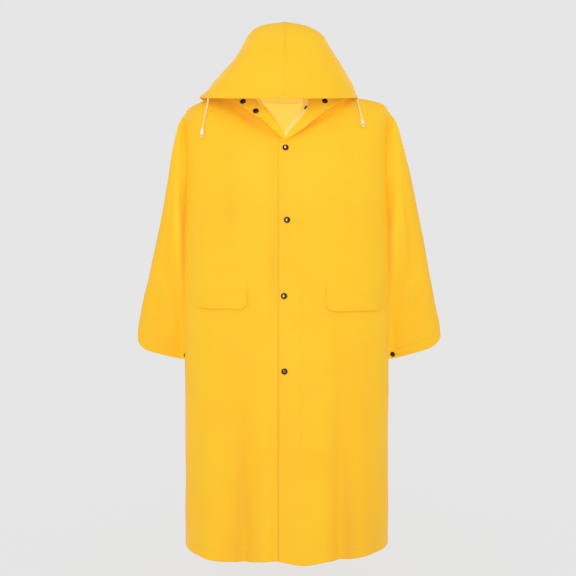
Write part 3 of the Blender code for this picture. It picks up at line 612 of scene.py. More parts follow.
# %% [markdown]
# ## Node groups for the cloth
# Three effects are shared by several materials, so each is a node group: a box with named sockets that is
# built once and placed where it is needed. A group gives out only masks, heights and colours. The
# Principled shader stays in the material, where its plain values can be read.
#
# - *Weld knurl*: the hot rail has fine teeth, and they leave small diamonds in the welds.
# - *Calendered grain*: the coating is rolled between warm cylinders, which leaves a very fine skin.
# - *Knit backing*: the pale carrier fabric on the reverse, rows of small loops.

# %% Helpers for sums
def maths(tree, operation, *values):
    """Math node; each value is a number or a socket. Gives its output."""
    node = tree.nodes.new("ShaderNodeMath")
    node.operation = operation
    for socket, value in zip(node.inputs, values):
        if isinstance(value, (int, float)):
            socket.default_value = value
        else:
            tree.links.new(value, socket)
    return node.outputs[0]


def product(tree, first, *others):
    """Numbers or sockets multiplied in turn."""
    for other in others:
        first = maths(tree, "MULTIPLY", first, other)
    return first


def summed(tree, first, *others):
    """Numbers or sockets added in turn."""
    for other in others:
        first = maths(tree, "ADD", first, other)
    return first


def apart_xyz(tree, vector):
    """The three numbers of a vector."""
    node = tree.nodes.new("ShaderNodeSeparateXYZ")
    tree.links.new(vector, node.inputs[0])
    return node.outputs


print("node helpers for sums are ready")

# %% [markdown]
# A mask is mostly a soft step of some number, which is the Map Range node's work. A group is made from lists
# of its sockets, and placed in a material with that material's own values.

# %% Helpers for masks and groups
def soft_range(tree, value, low, high, to_low=0.0, to_high=1.0):
    """Map Range node with a soft step."""
    node = tree.nodes.new("ShaderNodeMapRange")
    node.interpolation_type = "SMOOTHSTEP"
    tree.links.new(value, node.inputs["Value"])
    for name, number in (("From Min", low), ("From Max", high), ("To Min", to_low), ("To Max", to_high)):
        if isinstance(number, (int, float)):
            node.inputs[name].default_value = number
        else:
            tree.links.new(number, node.inputs[name])
    return node.outputs["Result"]


def group_tree(name, inputs, outputs):
    """Empty node group with named sockets. Gives the group, its inside inputs and its output node."""
    tree = bpy.data.node_groups.new(name, "ShaderNodeTree")
    for socket, kind, value in inputs:
        made = tree.interface.new_socket(name=socket, in_out="INPUT", socket_type=kind)
        if value is not None:
            made.default_value = value
    for socket, kind in outputs:
        tree.interface.new_socket(name=socket, in_out="OUTPUT", socket_type=kind)
    return tree, tree.nodes.new("NodeGroupInput").outputs, tree.nodes.new("NodeGroupOutput").inputs


def place_group(tree, group, **values):
    """Group node in a material; each value is a number or a socket."""
    node = tree.nodes.new("ShaderNodeGroup")
    node.node_tree = group
    for name, value in values.items():
        socket = node.inputs[name.replace("_", " ")]
        if isinstance(value, (int, float)):
            socket.default_value = value
        else:
            tree.links.new(value, socket)
    return node.outputs


print("node helpers for masks and groups are ready")

# %% [markdown]
# ### Weld knurl
# Each point of the cloth carries its signed distance to up to three weld lines, and its place on the flat
# cut. The group turns the distances into bands and presses a small diamond pattern into them, which the
# welding rail leaves. A distance passes through zero exactly on the line, so the band stays sharp even
# inside a large face.

# %% Weld knurl group
KNURL_HEIGHT, BAND_SOFTNESS = 0.00007, 1.4
TURN = 2.0 * math.pi

weld_knurl, given, result = group_tree(
    "Weld knurl",
    [("Distances", "NodeSocketVector", None), ("Cut", "NodeSocketVector", None),
     ("Half width", "NodeSocketFloat", 0.0022), ("Pitch", "NodeSocketFloat", 0.0024)],
    [("Mask", "NodeSocketFloat"), ("Height", "NodeSocketFloat")],
)
distances, cut = apart_xyz(weld_knurl, given["Distances"]), apart_xyz(weld_knurl, given["Cut"])
edge_of_band = product(weld_knurl, given["Half width"], BAND_SOFTNESS)
bands = [soft_range(weld_knurl, maths(weld_knurl, "ABSOLUTE", distance), edge_of_band, given["Half width"])
         for distance in distances]
mask = maths(weld_knurl, "MAXIMUM", maths(weld_knurl, "MAXIMUM", bands[0], bands[1]), bands[2])
slants = []
for way in ("ADD", "SUBTRACT"):
    steps = maths(weld_knurl, "DIVIDE", maths(weld_knurl, way, cut["X"], cut["Y"]), given["Pitch"])
    slants.append(maths(weld_knurl, "SINE", product(weld_knurl, steps, TURN)))
weld_knurl.links.new(mask, result["Mask"])
weld_knurl.links.new(product(weld_knurl, *slants, mask, KNURL_HEIGHT), result["Height"])
print("group", weld_knurl.name, "has", len(weld_knurl.nodes), "nodes")

# %% [markdown]
# ### Calendered grain
# Three noises make the skin of the coating: a fine one for the grain, a ridged one for the small crumples
# that a stiff sheet keeps from its packing, and a broad one for slow changes of tone and gloss.

# %% Calendered grain group
GRAIN_HEIGHT, CRUMPLE_TWIST, CRUMPLE_EDGE = 0.00005, 0.6, 0.16

grain, given, result = group_tree(
    "Calendered grain",
    [("Place", "NodeSocketVector", None), ("Grain size", "NodeSocketFloat", 0.0011),
     ("Crumple size", "NodeSocketFloat", 0.055), ("Patch size", "NodeSocketFloat", 0.16)],
    [("Height", "NodeSocketFloat"), ("Crumples", "NodeSocketFloat"), ("Patches", "NodeSocketFloat")],
)
noises = {}
for name, size, detail in (("fine", "Grain size", 2.0), ("crumple", "Crumple size", 2.0),
                           ("broad", "Patch size", 3.0)):
    noises[name] = grain.nodes.new("ShaderNodeTexNoise")
    grain.links.new(given["Place"], noises[name].inputs["Vector"])
    grain.links.new(maths(grain, "DIVIDE", 1.0, given[size]), noises[name].inputs["Scale"])
    noises[name].inputs["Detail"].default_value = detail
noises["crumple"].inputs["Distortion"].default_value = CRUMPLE_TWIST
ridge = maths(grain, "ABSOLUTE", maths(grain, "SUBTRACT", noises["crumple"].outputs["Fac"], 0.5))
grain.links.new(soft_range(grain, ridge, 0.0, CRUMPLE_EDGE), result["Crumples"])
grain.links.new(product(grain, noises["fine"].outputs["Fac"], GRAIN_HEIGHT), result["Height"])
grain.links.new(noises["broad"].outputs["Fac"], result["Patches"])
print("group", grain.name, "has", len(grain.nodes), "nodes")

# %% [markdown]
# ### Knit backing
# The carrier is a fine warp knit. Its loops stand in columns, so two sine waves along the cut's own
# directions, the second bent up and down by a quarter step across each column, make a convincing mesh of
# loops.

# %% Knit backing group
LOOP_RELIEF, LOOP_SLANT = 0.00014, 0.25

knit, given, result = group_tree(
    "Knit backing",
    [("Cut", "NodeSocketVector", None), ("Loop width", "NodeSocketFloat", 0.0011),
     ("Loop height", "NodeSocketFloat", 0.0014)],
    [("Height", "NodeSocketFloat"), ("Loops", "NodeSocketFloat")],
)
cut = apart_xyz(knit, given["Cut"])
column = maths(knit, "DIVIDE", cut["X"], given["Loop width"])
row = maths(knit, "DIVIDE", cut["Y"], given["Loop height"])
across_wave = maths(knit, "COSINE", product(knit, column, TURN))
shifted_row = summed(knit, row, product(knit, across_wave, LOOP_SLANT))
loop_wave = maths(knit, "COSINE", product(knit, shifted_row, TURN))
both = summed(knit, product(knit, across_wave, 0.5), product(knit, loop_wave, 0.5))
loops = soft_range(knit, both, -1.0, 1.0)
knit.links.new(loops, result["Loops"])
knit.links.new(product(knit, loops, LOOP_RELIEF), result["Height"])
print("group", knit.name, "has", len(knit.nodes), "nodes")

# %% [markdown]
# ## The two faces of the cloth
# The face is a yellow plastic coating with a satin gloss. The reverse is the pale carrier fabric, with the
# yellow showing through it. A thin sheet has both, so each piece carries two materials, and the Solidify
# modifier gives the second one to the inner side. Real cloth of this kind also lets some light through,
# so its shadows glow orange. A little light of the material's own, its emission, is painted light that stands
# for that, because it costs nothing to render and comes along when the model is exported.

# %% Helpers for materials
def new_material(name, roughness, **constants):
    """Material with a Principled shader and its plain values. Gives the material, its tree and the shader."""
    made = bpy.data.materials.new(name)
    made.use_nodes = True
    shader = made.node_tree.nodes["Principled BSDF"]
    shader.inputs["Roughness"].default_value = roughness
    for socket, value in constants.items():
        shader.inputs[socket.replace("_", " ")].default_value = value
    return made, made.node_tree, shader


def mix_colours(tree, share, first, second):
    """Mix Color node between two colours, each given plainly or by a socket."""
    node = tree.nodes.new("ShaderNodeMix")
    node.data_type = "RGBA"
    for name, colour in (("A", first), ("B", second)):
        if isinstance(colour, tuple):
            node.inputs[name].default_value = colour
        else:
            tree.links.new(colour, node.inputs[name])
    tree.links.new(share, node.inputs["Factor"])
    return node.outputs["Result"]


def read_attribute(tree, name):
    """Attribute node for a vector that the mesh carries."""
    node = tree.nodes.new("ShaderNodeAttribute")
    node.attribute_name = name
    return node.outputs["Vector"]


def add_bump(tree, shader, height):
    """Bump node in real metres."""
    node = tree.nodes.new("ShaderNodeBump")
    node.inputs["Distance"].default_value = 1.0
    node.inputs["Strength"].default_value = 1.0
    tree.links.new(height, node.inputs["Height"])
    tree.links.new(node.outputs["Normal"], shader.inputs["Normal"])


print("material helpers are ready")

# %% [markdown]
# The colour of the face goes by its tone, which paints shade and light into it: hollows and bands of
# painted shade are a little deeper, and brown only in the darkest folds, and broad random patches vary it a
# little. Its gloss varies slightly in patches and is highest in the welds, where the hot rail has
# smoothed the coating.

# %% Cloth face material
FACE_YELLOW, FACE_DEEP = (0.930, 0.548, 0.008, 1.0), (0.910, 0.476, 0.007, 1.0)
FACE_SHADE = (0.790, 0.390, 0.016, 1.0)
FACE_GLOW, FACE_GLOW_THROUGH = (0.105, 0.068, 0.011, 1.0), (0.280, 0.250, 0.034, 1.0)
PATCH_LOW, PATCH_HIGH, PATCH_TONE = 0.30, 0.70, 0.35  # the broad noise stays within these, and its tone
DEEPEST_TONE, LIGHTEST_TONE = -2.0, 1.6
SHADE_STARTS, SHADE_FULL = -1.2, -3.6  # tones deeper than this turn brown
SMOOTH_GLOSS, ROUGH_GLOSS, WELD_GLOSS = 0.49, 0.57, 0.06  # a weld is this much smoother
CRUMPLE_HEIGHT = 0.00016

face_cloth, tree, shader = new_material("coated_cloth_face", 0.53, Specular_IOR_Level=0.22,
                                        Emission_Strength=1.0)
cut_place, tones = read_attribute(tree, "cut"), apart_xyz(tree, read_attribute(tree, "tone"))
skin = place_group(tree, grain, Place=cut_place)
welds = place_group(tree, weld_knurl, Distances=read_attribute(tree, "welds"), Cut=cut_place)
patches = soft_range(tree, skin["Patches"], PATCH_LOW, PATCH_HIGH, PATCH_TONE, -PATCH_TONE)
lightness = soft_range(tree, summed(tree, tones["X"], patches), DEEPEST_TONE, LIGHTEST_TONE)
yellow = mix_colours(tree, lightness, FACE_DEEP, FACE_YELLOW)
yellow = mix_colours(tree, soft_range(tree, tones["X"], SHADE_STARTS, SHADE_FULL), yellow, FACE_SHADE)
tree.links.new(yellow, shader.inputs["Base Color"])
tree.links.new(mix_colours(tree, tones["Y"], FACE_GLOW, FACE_GLOW_THROUGH), shader.inputs["Emission Color"])
gloss = soft_range(tree, skin["Patches"], PATCH_LOW, PATCH_HIGH, SMOOTH_GLOSS, ROUGH_GLOSS)
tree.links.new(maths(tree, "SUBTRACT", gloss, product(tree, welds["Mask"], WELD_GLOSS)),
               shader.inputs["Roughness"])
crumples = product(tree, skin["Crumples"], CRUMPLE_HEIGHT)
add_bump(tree, shader, summed(tree, skin["Height"], crumples, welds["Height"]))
print("material", face_cloth.name, "has", len(tree.nodes), "nodes")

# %% [markdown]
# The reverse is matt, so its roughness is high and the small loops do the work. Between the loops the
# yellow coating shows, a little deeper in colour than the yarn. Each sheet says how much light comes
# through to its reverse, and that light is painted in as emission.

# %% Cloth reverse material
REVERSE_PALE, REVERSE_GROUND = (0.940, 0.730, 0.280, 1.0), (0.920, 0.640, 0.150, 1.0)
REVERSE_GLOW, REVERSE_GLOW_THROUGH = (0.050, 0.032, 0.008, 1.0), (0.440, 0.325, 0.070, 1.0)

reverse_cloth, tree, shader = new_material("coated_cloth_reverse", 0.85, Specular_IOR_Level=0.25,
                                           Emission_Strength=1.0)
cut_place, tones = read_attribute(tree, "cut"), apart_xyz(tree, read_attribute(tree, "tone"))
loops = place_group(tree, knit, Cut=cut_place)
welds = place_group(tree, weld_knurl, Distances=read_attribute(tree, "welds"), Cut=cut_place)
tree.links.new(mix_colours(tree, loops["Loops"], REVERSE_GROUND, REVERSE_PALE), shader.inputs["Base Color"])
tree.links.new(mix_colours(tree, tones["Z"], REVERSE_GLOW, REVERSE_GLOW_THROUGH),
               shader.inputs["Emission Color"])
unpressed_loops = product(tree, loops["Height"], maths(tree, "SUBTRACT", 1.0, welds["Mask"]))
add_bump(tree, shader, summed(tree, unpressed_loops, welds["Height"]))
print("material", reverse_cloth.name, "has", len(tree.nodes), "nodes")

# %% [markdown]
# ## From a grid of points to a sheet of cloth
# Each panel is worked out as rows of points on its inner face. One helper joins them into a mesh, one stores
# values on its points, and one measures the flat piece that was cut for it.

# %% Grids and cut sizes
def grid_mesh(name, points, closed, flip):
    """Mesh from rows of points."""
    rows, columns = points.shape[:2]
    index = np.arange(rows * columns).reshape(rows, columns)
    beside = np.roll(index, -1, axis=1) if closed else index[:, 1:]
    here = index if closed else index[:, :-1]
    corners = np.stack([here[:-1], beside[:-1], beside[1:], here[1:]], axis=-1).reshape(-1, 4)
    mesh = bpy.data.meshes.new(name)
    mesh.from_pydata(points.reshape(-1, 3).tolist(), [], (corners[:, ::-1] if flip else corners).tolist())
    mesh.shade_smooth()
    return mesh


def store_vectors(mesh, name, vectors):
    """Vector attribute on the mesh's points."""
    made = mesh.attributes.new(name, "FLOAT_VECTOR", "POINT")
    made.data.foreach_set("vector", np.asarray(vectors, np.float32).ravel())


def cut_sizes(points, closed):
    """Flat size and area of the cut, from the piece before its creases."""
    ring = np.concatenate([points, points[:, :1]], axis=1) if closed else points
    first, second = ring[1:, :-1] - ring[:-1, :-1], ring[:-1, 1:] - ring[:-1, :-1]
    area = float(np.linalg.norm(np.cross(first, second), axis=-1).sum())
    width, length = float(lengths(ring, 1)[:, -1].max()), float(lengths(ring, 0)[-1].max())
    return width, length, min(area, width * length)


print("sample of the body, flat:", [round(size, 3) for size in cut_sizes(body(*SAMPLE), False)])

# %% [markdown]
# A sheet carries the flat cut, the weld distances and its tone on its points. Solidify thickens it outwards
# and closes its edges, and a bevel rounds them. The sheet is then tied to the frame: it rides on the one
# body, and the CAD node that it stands for is hidden.

# %% Cloth helper
EDGE_ROUNDING, EDGE_SEGMENTS, EDGE_ANGLE = 0.0004, 2, math.radians(60.0)
FAR = 1.0  # a distance that means: no weld here


def tie(piece, slot, *nodes):
    """Piece on the frame's one body, with the CAD nodes that it stands for hidden; the slot is not used."""
    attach(piece, "root")
    if nodes:
        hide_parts(*nodes)


def cloth(node, points, plain, welds, tone, closed=False, flip=False,
          shows_reverse=None):
    """Sheet of cloth that stands for a CAD node. The tone has three parts: its painted shade and light, and
    the light painted as emission that comes through to the outside and to the inside."""
    mesh = grid_mesh(f"{node}_cloth", points, closed, flip)
    across, along = lengths(plain, 1), lengths(plain, 0)
    for name, parts in (("cut", (across, along, 0.0)), ("welds", welds), ("tone", tone)):
        store_vectors(mesh, name, np.stack([np.broadcast_to(part, along.shape) for part in parts], axis=-1))
    for finish in (face_cloth, reverse_cloth, face_cloth):
        mesh.materials.append(finish)
    if shows_reverse is not None:
        mesh.polygons.foreach_set("material_index", shows_reverse.ravel().astype(np.int32))
    piece = add_object(mesh.name, mesh)
    wall = piece.modifiers.new("Wall", "SOLIDIFY")
    wall.thickness, wall.offset, wall.material_offset = WALL, 1.0, 1
    edges = piece.modifiers.new("Edges", "BEVEL")
    edges.width, edges.segments = EDGE_ROUNDING, EDGE_SEGMENTS
    edges.limit_method, edges.angle_limit = "ANGLE", EDGE_ANGLE
    tie(piece, "coated_cloth", node)


print("a sheet is", WALL * 1000, "mm thick")

# %% [markdown]
# ## The fronts
# Light that comes through the thin cloth is painted as emission in two places: beside the body, where a
# sleeve hangs close to it and shade would fall, and inside the neck, which is lit from all round.

# %% Light through the body's cloth
SLEEVE_END_LINE = TORSO_LENGTHS[2]  # about where the sleeves end beside the body
SIDE_GLOW, SIDE_GLOW_ANGLE = 0.25, 0.75
SIDE_GLOW_LOW, SIDE_GLOW_LOW_FADE = SLEEVE_END_LINE + 0.02, 0.05
SIDE_GLOW_HIGH, SIDE_GLOW_HIGH_FADE = UNDERARM + 0.04, 0.10
SKIRT_GLOW, NECK_GLOW, NECK_GLOW_Z, NECK_GLOW_FADE = 0.3, 0.7, -0.3, 0.1


def body_glow(own, line, z):
    """Painted light, as emission, that comes through to the outside and to the inside, as shares of the most
    there can be.
    """
    above = ease((line - SIDE_GLOW_LOW) / SIDE_GLOW_LOW_FADE)
    below = ease((SIDE_GLOW_HIGH - line) / SIDE_GLOW_HIGH_FADE)
    outside = SIDE_GLOW * above * below * ease(1.0 - np.abs(own) / SIDE_GLOW_ANGLE)
    return outside, SKIRT_GLOW + NECK_GLOW * ease((z - NECK_GLOW_Z) / NECK_GLOW_FADE)


print("light comes through beside the body up to", round(SIDE_GLOW_HIGH, 3), "m above the hem")

# %% [markdown]
# The wearer's left front lies on top. Beside its edge runs the weld that holds the turned-back placket.
# The right front dips below it by one wall and a small gap, and is bare there, because it never shows.

# %% Two fronts
FRONT_COLUMNS = 98
NARROWEST = 0.03  # rows with less than this angle between armhole and neck opening are left out
LAP_DROP = WALL + 0.0024
LAP_START, LAP_FULL = math.radians(78.5), math.radians(86.0)
SIDE_WELD = 0.007  # the side seam's weld, beside the panel's edge
FORWARD_GAP = np.array([0.0, -0.5 * SEAM_GAP, 0.0])  # fronts and back part by one seam gap


def front_piece(side, node):
    """One front, from the side seam to its centre edge."""
    on_top = side == LEFT
    even = np.linspace(0.0, LEFT_EDGE if on_top else RIGHT_EDGE, FRONT_COLUMNS)
    nominal = with_welds(even, [PLACKET_WELD], RADIANS_PER_METRE) if on_top else even
    rows = BODY_ROWS[front_edge(side, BODY_ROWS)[0] - armhole_edge(BODY_ROWS) > NARROWEST]
    own = front_angles(side, rows, nominal)
    angle, line = own_angle(side, own), rows[:, None]
    plain = body(angle, line)
    points, normal = coat(angle, line)
    beside_placket = plain[..., 0] - PLACKET_WELD_X if on_top else FAR
    push = pressed(beside_placket) + pressed(line - HEM_WELD) + seam_valley(from_armhole(own, line))
    if not on_top:
        push = push - LAP_DROP * ease((own - LAP_START) / (LAP_FULL - LAP_START))
    points = points + normal * push[..., None] + FORWARD_GAP
    welds = beside_placket, line - HEM_WELD, lengths(plain, 1) - SIDE_WELD
    tone = painted_body_light_and_shade(points, normal, plain, angle), *body_glow(own, line, plain[..., 2])
    cloth(node, points, plain, welds, tone, flip=on_top)


front_piece(LEFT, "front_left")
front_piece(RIGHT, "front_right")

# %% [markdown]
# ## The back
# The back is one piece from side seam to side seam. Its armholes mirror those of the fronts.

# %% Back
BACK_COLUMNS = 150


def back_piece():
    """The back, with its angles measured from the nearer side seam where a panel's own angle counts."""
    start, line = armhole_edge(BODY_ROWS)[:, None], BODY_ROWS[:, None]
    angle = -(start + (math.pi - 2.0 * start) * np.linspace(0.0, 1.0, BACK_COLUMNS)[None])
    own = np.minimum(-angle, math.pi + angle)
    plain = body(angle, line)
    points, normal = coat(angle, line)
    push = pressed(line - HEM_WELD) + seam_valley(from_armhole(own, line))
    points = points + normal * push[..., None] - FORWARD_GAP
    across = lengths(plain, 1)
    welds = FAR, line - HEM_WELD, np.minimum(across, across[:, -1:] - across) - SIDE_WELD
    tone = painted_body_light_and_shade(points, normal, plain, angle), *body_glow(own, line, plain[..., 2])
    cloth("back", points, plain, welds, tone)


back_piece()

# %% [markdown]
# ## The sleeves
# A sleeve is a tube. Its head is the armhole's own loop, sunk into the seam's valley, so the cloth flows
# over the shoulder without a step. Below it, the rings lean outwards to the cuff. They come from a table
# of the sleeve's inner and outer line. The columns start under the arm, where a real sleeve has its seam.

# %% Sleeve rings
SleeveRing = namedtuple("SleeveRing", "inner_z outer_z left_reach right_reach half_depth centre_y")
SLEEVE_RINGS = (
    SleeveRing(-0.347, -0.058, 0.2890, 0.2856, 0.073, 0.000),
    SleeveRing(-0.358, -0.100, 0.3040, 0.2965, 0.076, 0.002),
    SleeveRing(-0.374, -0.155, 0.3180, 0.3074, 0.078, 0.005),
    SleeveRing(-0.400, -0.225, 0.3350, 0.3188, 0.078, 0.010),
    SleeveRing(-0.440, -0.305, 0.3528, 0.3340, 0.074, 0.016),
    SleeveRing(-0.497, -0.390, 0.3712, 0.3532, 0.067, 0.022),
    SleeveRing(-0.562, -0.480, 0.3900, 0.3750, 0.058, 0.028),
    SleeveRing(-0.636, -0.570, 0.4100, 0.3985, 0.047, 0.034),
    SleeveRing(-0.688, -0.622, 0.4210, 0.4095, 0.039, 0.038),
    SleeveRing(-0.712, -0.650, 0.4240, 0.4117, 0.035, 0.040),
)
SLEEVE_INNER_X = 0.2788
SLEEVE_SQUARES = (2.6, 3.0, 3.3, 3.5, 3.5, 3.4, 3.2, 2.8, 2.4, 2.15)  # flatter faces in the middle
SLEEVE_COLUMNS = 104
HEAD_SINK, HEAD_RISE, HEAD_START = 0.0009, 0.0006, 0.004  # the head's edge, and the row just outside it


def sleeve_rows(side):
    """Rings of a sleeve, from its head to the cuff, with the first column under the arm."""
    turn = TURN * np.arange(SLEEVE_COLUMNS) / SLEEVE_COLUMNS + np.pi
    head, normal = coat(own_angle(side, ARMHOLE_ANGLE * np.sin(turn)),
                        ARMHOLE_MIDDLE + ARMHOLE_HALF * np.cos(turn))
    rings = []
    for ring, square in zip(SLEEVE_RINGS, SLEEVE_SQUARES):
        forward, along = unit_ring(0.5 * np.pi - turn, square)
        inner = np.array([SLEEVE_INNER_X * side, ring.centre_y, ring.inner_z])
        reach = ring.left_reach if side == LEFT else ring.right_reach
        outer = np.array([reach * side, ring.centre_y, ring.outer_z])
        row = 0.5 * (inner + outer) + 0.5 * (outer - inner) * along[:, None]
        rings.append(row + np.array([0.0, -ring.half_depth, 0.0]) * forward[:, None])
    beside_head = head + normal * HEAD_RISE + unit(rings[0] - head) * HEAD_START
    return np.array([head - normal * HEAD_SINK, beside_head] + rings), along


print("sleeve rings:", sleeve_rows(LEFT)[0].shape)

# %% [markdown]
# The cuff's edge is not square: towards the outer fold it is cut lower and ends in a round corner. A
# shift of the last rows does this.

# %% Cuff's edge
CUFF_DROP = {LEFT: 0.019, RIGHT: 0.0276}
CUFF_CORNER, CUFF_CORNER_START, CUFF_REACH = 0.027, 0.45, 0.12


def cuff_shift(side, along, to_end):
    """How much higher the rows near the cuff's edge lie."""
    u = np.clip((along - CUFF_CORNER_START) / (1.0 - CUFF_CORNER_START), 0.0, 1.0)
    corner = CUFF_CORNER * (1.0 - np.sqrt(1.0 - u * u))
    return (corner - CUFF_DROP[side] * 0.5 * (1.0 + along)) * ease(1.0 - to_end / CUFF_REACH)


print("cuff's corner starts to rise", CUFF_CORNER_START, "of the way out")

# %% [markdown]
# Creases on a sleeve are placed by how far round they are, in metres from the outer line over the front,
# and how far down. They gather on the inner side of the elbow, twist down from the armhole, and a long
# soft one follows the inner arm. The lower line of the wearer's right sleeve hangs a little further down
# near its head, as its shoulder does.

# %% Creases of the sleeves
SLEEVE_CREASES = (
    Crease(0, 0.080, 0.02, 0.105, 0.30, -0.010, 0.014, -0.0040, 0.3, False),
    Crease(0, 0.145, 0.04, 0.120, 0.34, 0.012, 0.016, 0.0030, 0.0, False),
    Crease(0, 0.060, 0.30, 0.165, 0.36, 0.010, 0.012, -0.0030, 0.3, False),
    Crease(0, 0.060, 0.36, 0.160, 0.40, 0.008, 0.012, 0.0026, 0.1, False),
    Crease(0, 0.070, 0.41, 0.160, 0.46, 0.010, 0.012, -0.0026, 0.3, False),
    Crease(0, 0.205, 0.20, 0.195, 0.50, 0.010, 0.018, -0.0026, 0.1, False),
    Crease(0, 0.130, 0.48, 0.140, 0.66, 0.004, 0.014, -0.0024, 0.2, False),
    Crease(0, 0.300, 0.05, 0.330, 0.34, 0.010, 0.016, -0.0036, 0.2, False),
    Crease(0, 0.360, 0.03, 0.350, 0.30, -0.010, 0.018, 0.0030, 0.0, False),
    Crease(0, 0.290, 0.33, 0.380, 0.37, 0.010, 0.013, 0.0026, 0.1, False),
    Crease(0, 0.280, 0.38, 0.370, 0.43, 0.009, 0.012, -0.0028, 0.3, False),
    Crease(0, 0.330, 0.42, 0.340, 0.66, 0.006, 0.016, -0.0024, 0.1, False),
)
SLEEVE_WAVES = (Wave(0.090, 0.0016, 3), Wave(0.034, 0.0006, 4))
SLEEVE_ROUND = 0.45  # the rough way round, by which the creases are placed
CREASE_FREE, WAVE_FREE = 0.05, 0.02  # no crease this close to a sleeve's ends, and no wave to its head
SLEEVE_HANG, HANG_REACH, HANG_FROM, HANG_ACROSS = 0.008, 0.15, -0.4, 1.4


def sleeve_push(plain, round_way, low, total, to_cuff):
    """How far the creases, the waves and the cuff's weld push a sleeve's cloth out."""
    ends = ease(low / CREASE_FREE) * ease((total - low) / CREASE_FREE)
    return (creases_at(SLEEVE_CREASES, round_way, low) * ends + pressed(to_cuff)
            + waves(plain, SLEEVE_WAVES) * ease(low / WAVE_FREE))


def ring_normals(points):
    """Directions out of a closed grid of rings, for the wearer's left side."""
    down = np.gradient(points, axis=0)
    round_way = np.roll(points, -1, axis=1) - np.roll(points, 1, axis=1)
    return unit(np.cross(round_way, down))


print(len(SLEEVE_CREASES), "creases on each sleeve")

# %% [markdown]
# Where a sleeve hangs close beside the body, light is painted in as emission along its inner line, more so
# the further down it is. Just below the shoulder a painted highlight lightens the colour of the sleeve's
# inner edge instead. Its creases are painted deeper in their troughs and lighter on their ridges, and the
# whole sleeve a little deeper.

# %% Sleeves
GLOW_ACROSS = 0.022  # the glow has faded this far out from the inner line
GLOW_FALLS = ((0.75, -0.24, 0.12), (0.25, -0.42, 0.18))  # share, where it starts, and in what drop it grows
SEAM_LIGHT, SEAM_LIGHT_X, SEAM_LIGHT_ACROSS, SEAM_LIGHT_Z, SEAM_LIGHT_FALL = 1.6, 0.004, 0.040, -0.04, 0.05
SLEEVE_TONE, SLEEVE_RELIEF, SLEEVE_INSIDE_GLOW = -0.2, 0.006, 0.2


def painted_sleeve_light_and_shade(plain, push):
    """Painted shade and highlight of a sleeve, and the light painted as emission through its cloth."""
    outwards, z = np.abs(plain[..., 0]) - SLEEVE_INNER_X, plain[..., 2]
    falls = sum(share * ease((start - z) / fall) for share, start, fall in GLOW_FALLS)
    seam_light = (SEAM_LIGHT * ease(1.0 - (outwards - SEAM_LIGHT_X) / SEAM_LIGHT_ACROSS)
                  * ease((SEAM_LIGHT_Z - z) / SEAM_LIGHT_FALL))
    relief = np.clip(push / SLEEVE_RELIEF, -1.0, 1.0)
    return relief + SLEEVE_TONE + seam_light, ease(1.0 - outwards / GLOW_ACROSS) * falls, SLEEVE_INSIDE_GLOW


def sleeve_piece(side, node):
    """One sleeve, with its creases and its cuff weld."""
    coarse, along = sleeve_rows(side)
    knots = np.concatenate([[0.0], np.cumsum(np.linalg.norm(np.diff(coarse, axis=0), axis=-1).mean(axis=1))])
    down = with_welds(np.linspace(0.0, knots[-1], round(knots[-1] / CELL) + 1), [knots[-1] - CUFF_WELD])
    round_way, low = np.meshgrid(SLEEVE_ROUND * np.arange(SLEEVE_COLUMNS) / SLEEVE_COLUMNS, down)
    plain = smooth(knots, coarse, down)
    plain[..., 2] += cuff_shift(side, along, knots[-1] - low)
    if side == RIGHT:
        hang = ease(1.0 - low / HANG_REACH) * ease((along - HANG_FROM) / HANG_ACROSS) * ease(low / WAVE_FREE)
        plain[..., 2] -= SLEEVE_HANG * hang
    to_cuff = (knots[-1] - CUFF_WELD) - low
    push = sleeve_push(plain, round_way, low, knots[-1], to_cuff)
    points = plain + side * ring_normals(plain) * push[..., None]
    cloth(node, points, plain, (FAR, to_cuff, FAR), painted_sleeve_light_and_shade(plain, push), closed=True,
          flip=side == RIGHT)


sleeve_piece(LEFT, "sleeve_left")
sleeve_piece(RIGHT, "sleeve_right")

# %% [markdown]
# ## The hood
# The hood is two halves with a seam over the crown. It stands empty over the neck, and its face edge, the
# brim, lies level below the chin. A table gives the ring at each height, from the open base to the crown.

# %% Hood rings
HoodRing = namedtuple("HoodRing", "side_z front_z back_z right_x left_x front_depth back_depth square")
HOOD_RINGS = (
    HoodRing(0.0002, -0.0232, -0.034, -0.2345, 0.1908, 0.140, 0.130, 2.2),
    HoodRing(0.0160, -0.0020, -0.012, -0.2140, 0.1830, 0.143, 0.137, 2.2),
    HoodRing(0.0370, 0.0260, 0.018, -0.1970, 0.1748, 0.143, 0.145, 2.2),
    HoodRing(0.0586, 0.0530, 0.047, -0.1780, 0.1612, 0.139, 0.150, 2.2),
    HoodRing(0.0800, 0.0770, 0.073, -0.1568, 0.1476, 0.132, 0.151, 2.2),
    HoodRing(0.1010, 0.1000, 0.097, -0.1385, 0.1340, 0.123, 0.148, 2.2),
    HoodRing(0.1330, 0.1330, 0.131, -0.1178, 0.1152, 0.102, 0.136, 2.2),
    HoodRing(0.1620, 0.1610, 0.160, -0.1040, 0.0985, 0.076, 0.116, 2.2),
    HoodRing(0.1800, 0.1790, 0.179, -0.0865, 0.0730, 0.052, 0.096, 2.2),
    HoodRing(0.1915, 0.1910, 0.191, -0.0560, 0.0420, 0.030, 0.077, 2.2),
    HoodRing(0.2010, 0.2010, 0.201, -0.0046, -0.0046, 0.004, 0.052, 2.2),
)
HOOD_CENTRE_X = -0.0046
HOOD_KNOTS = np.linspace(0.0, 1.0, len(HOOD_RINGS))


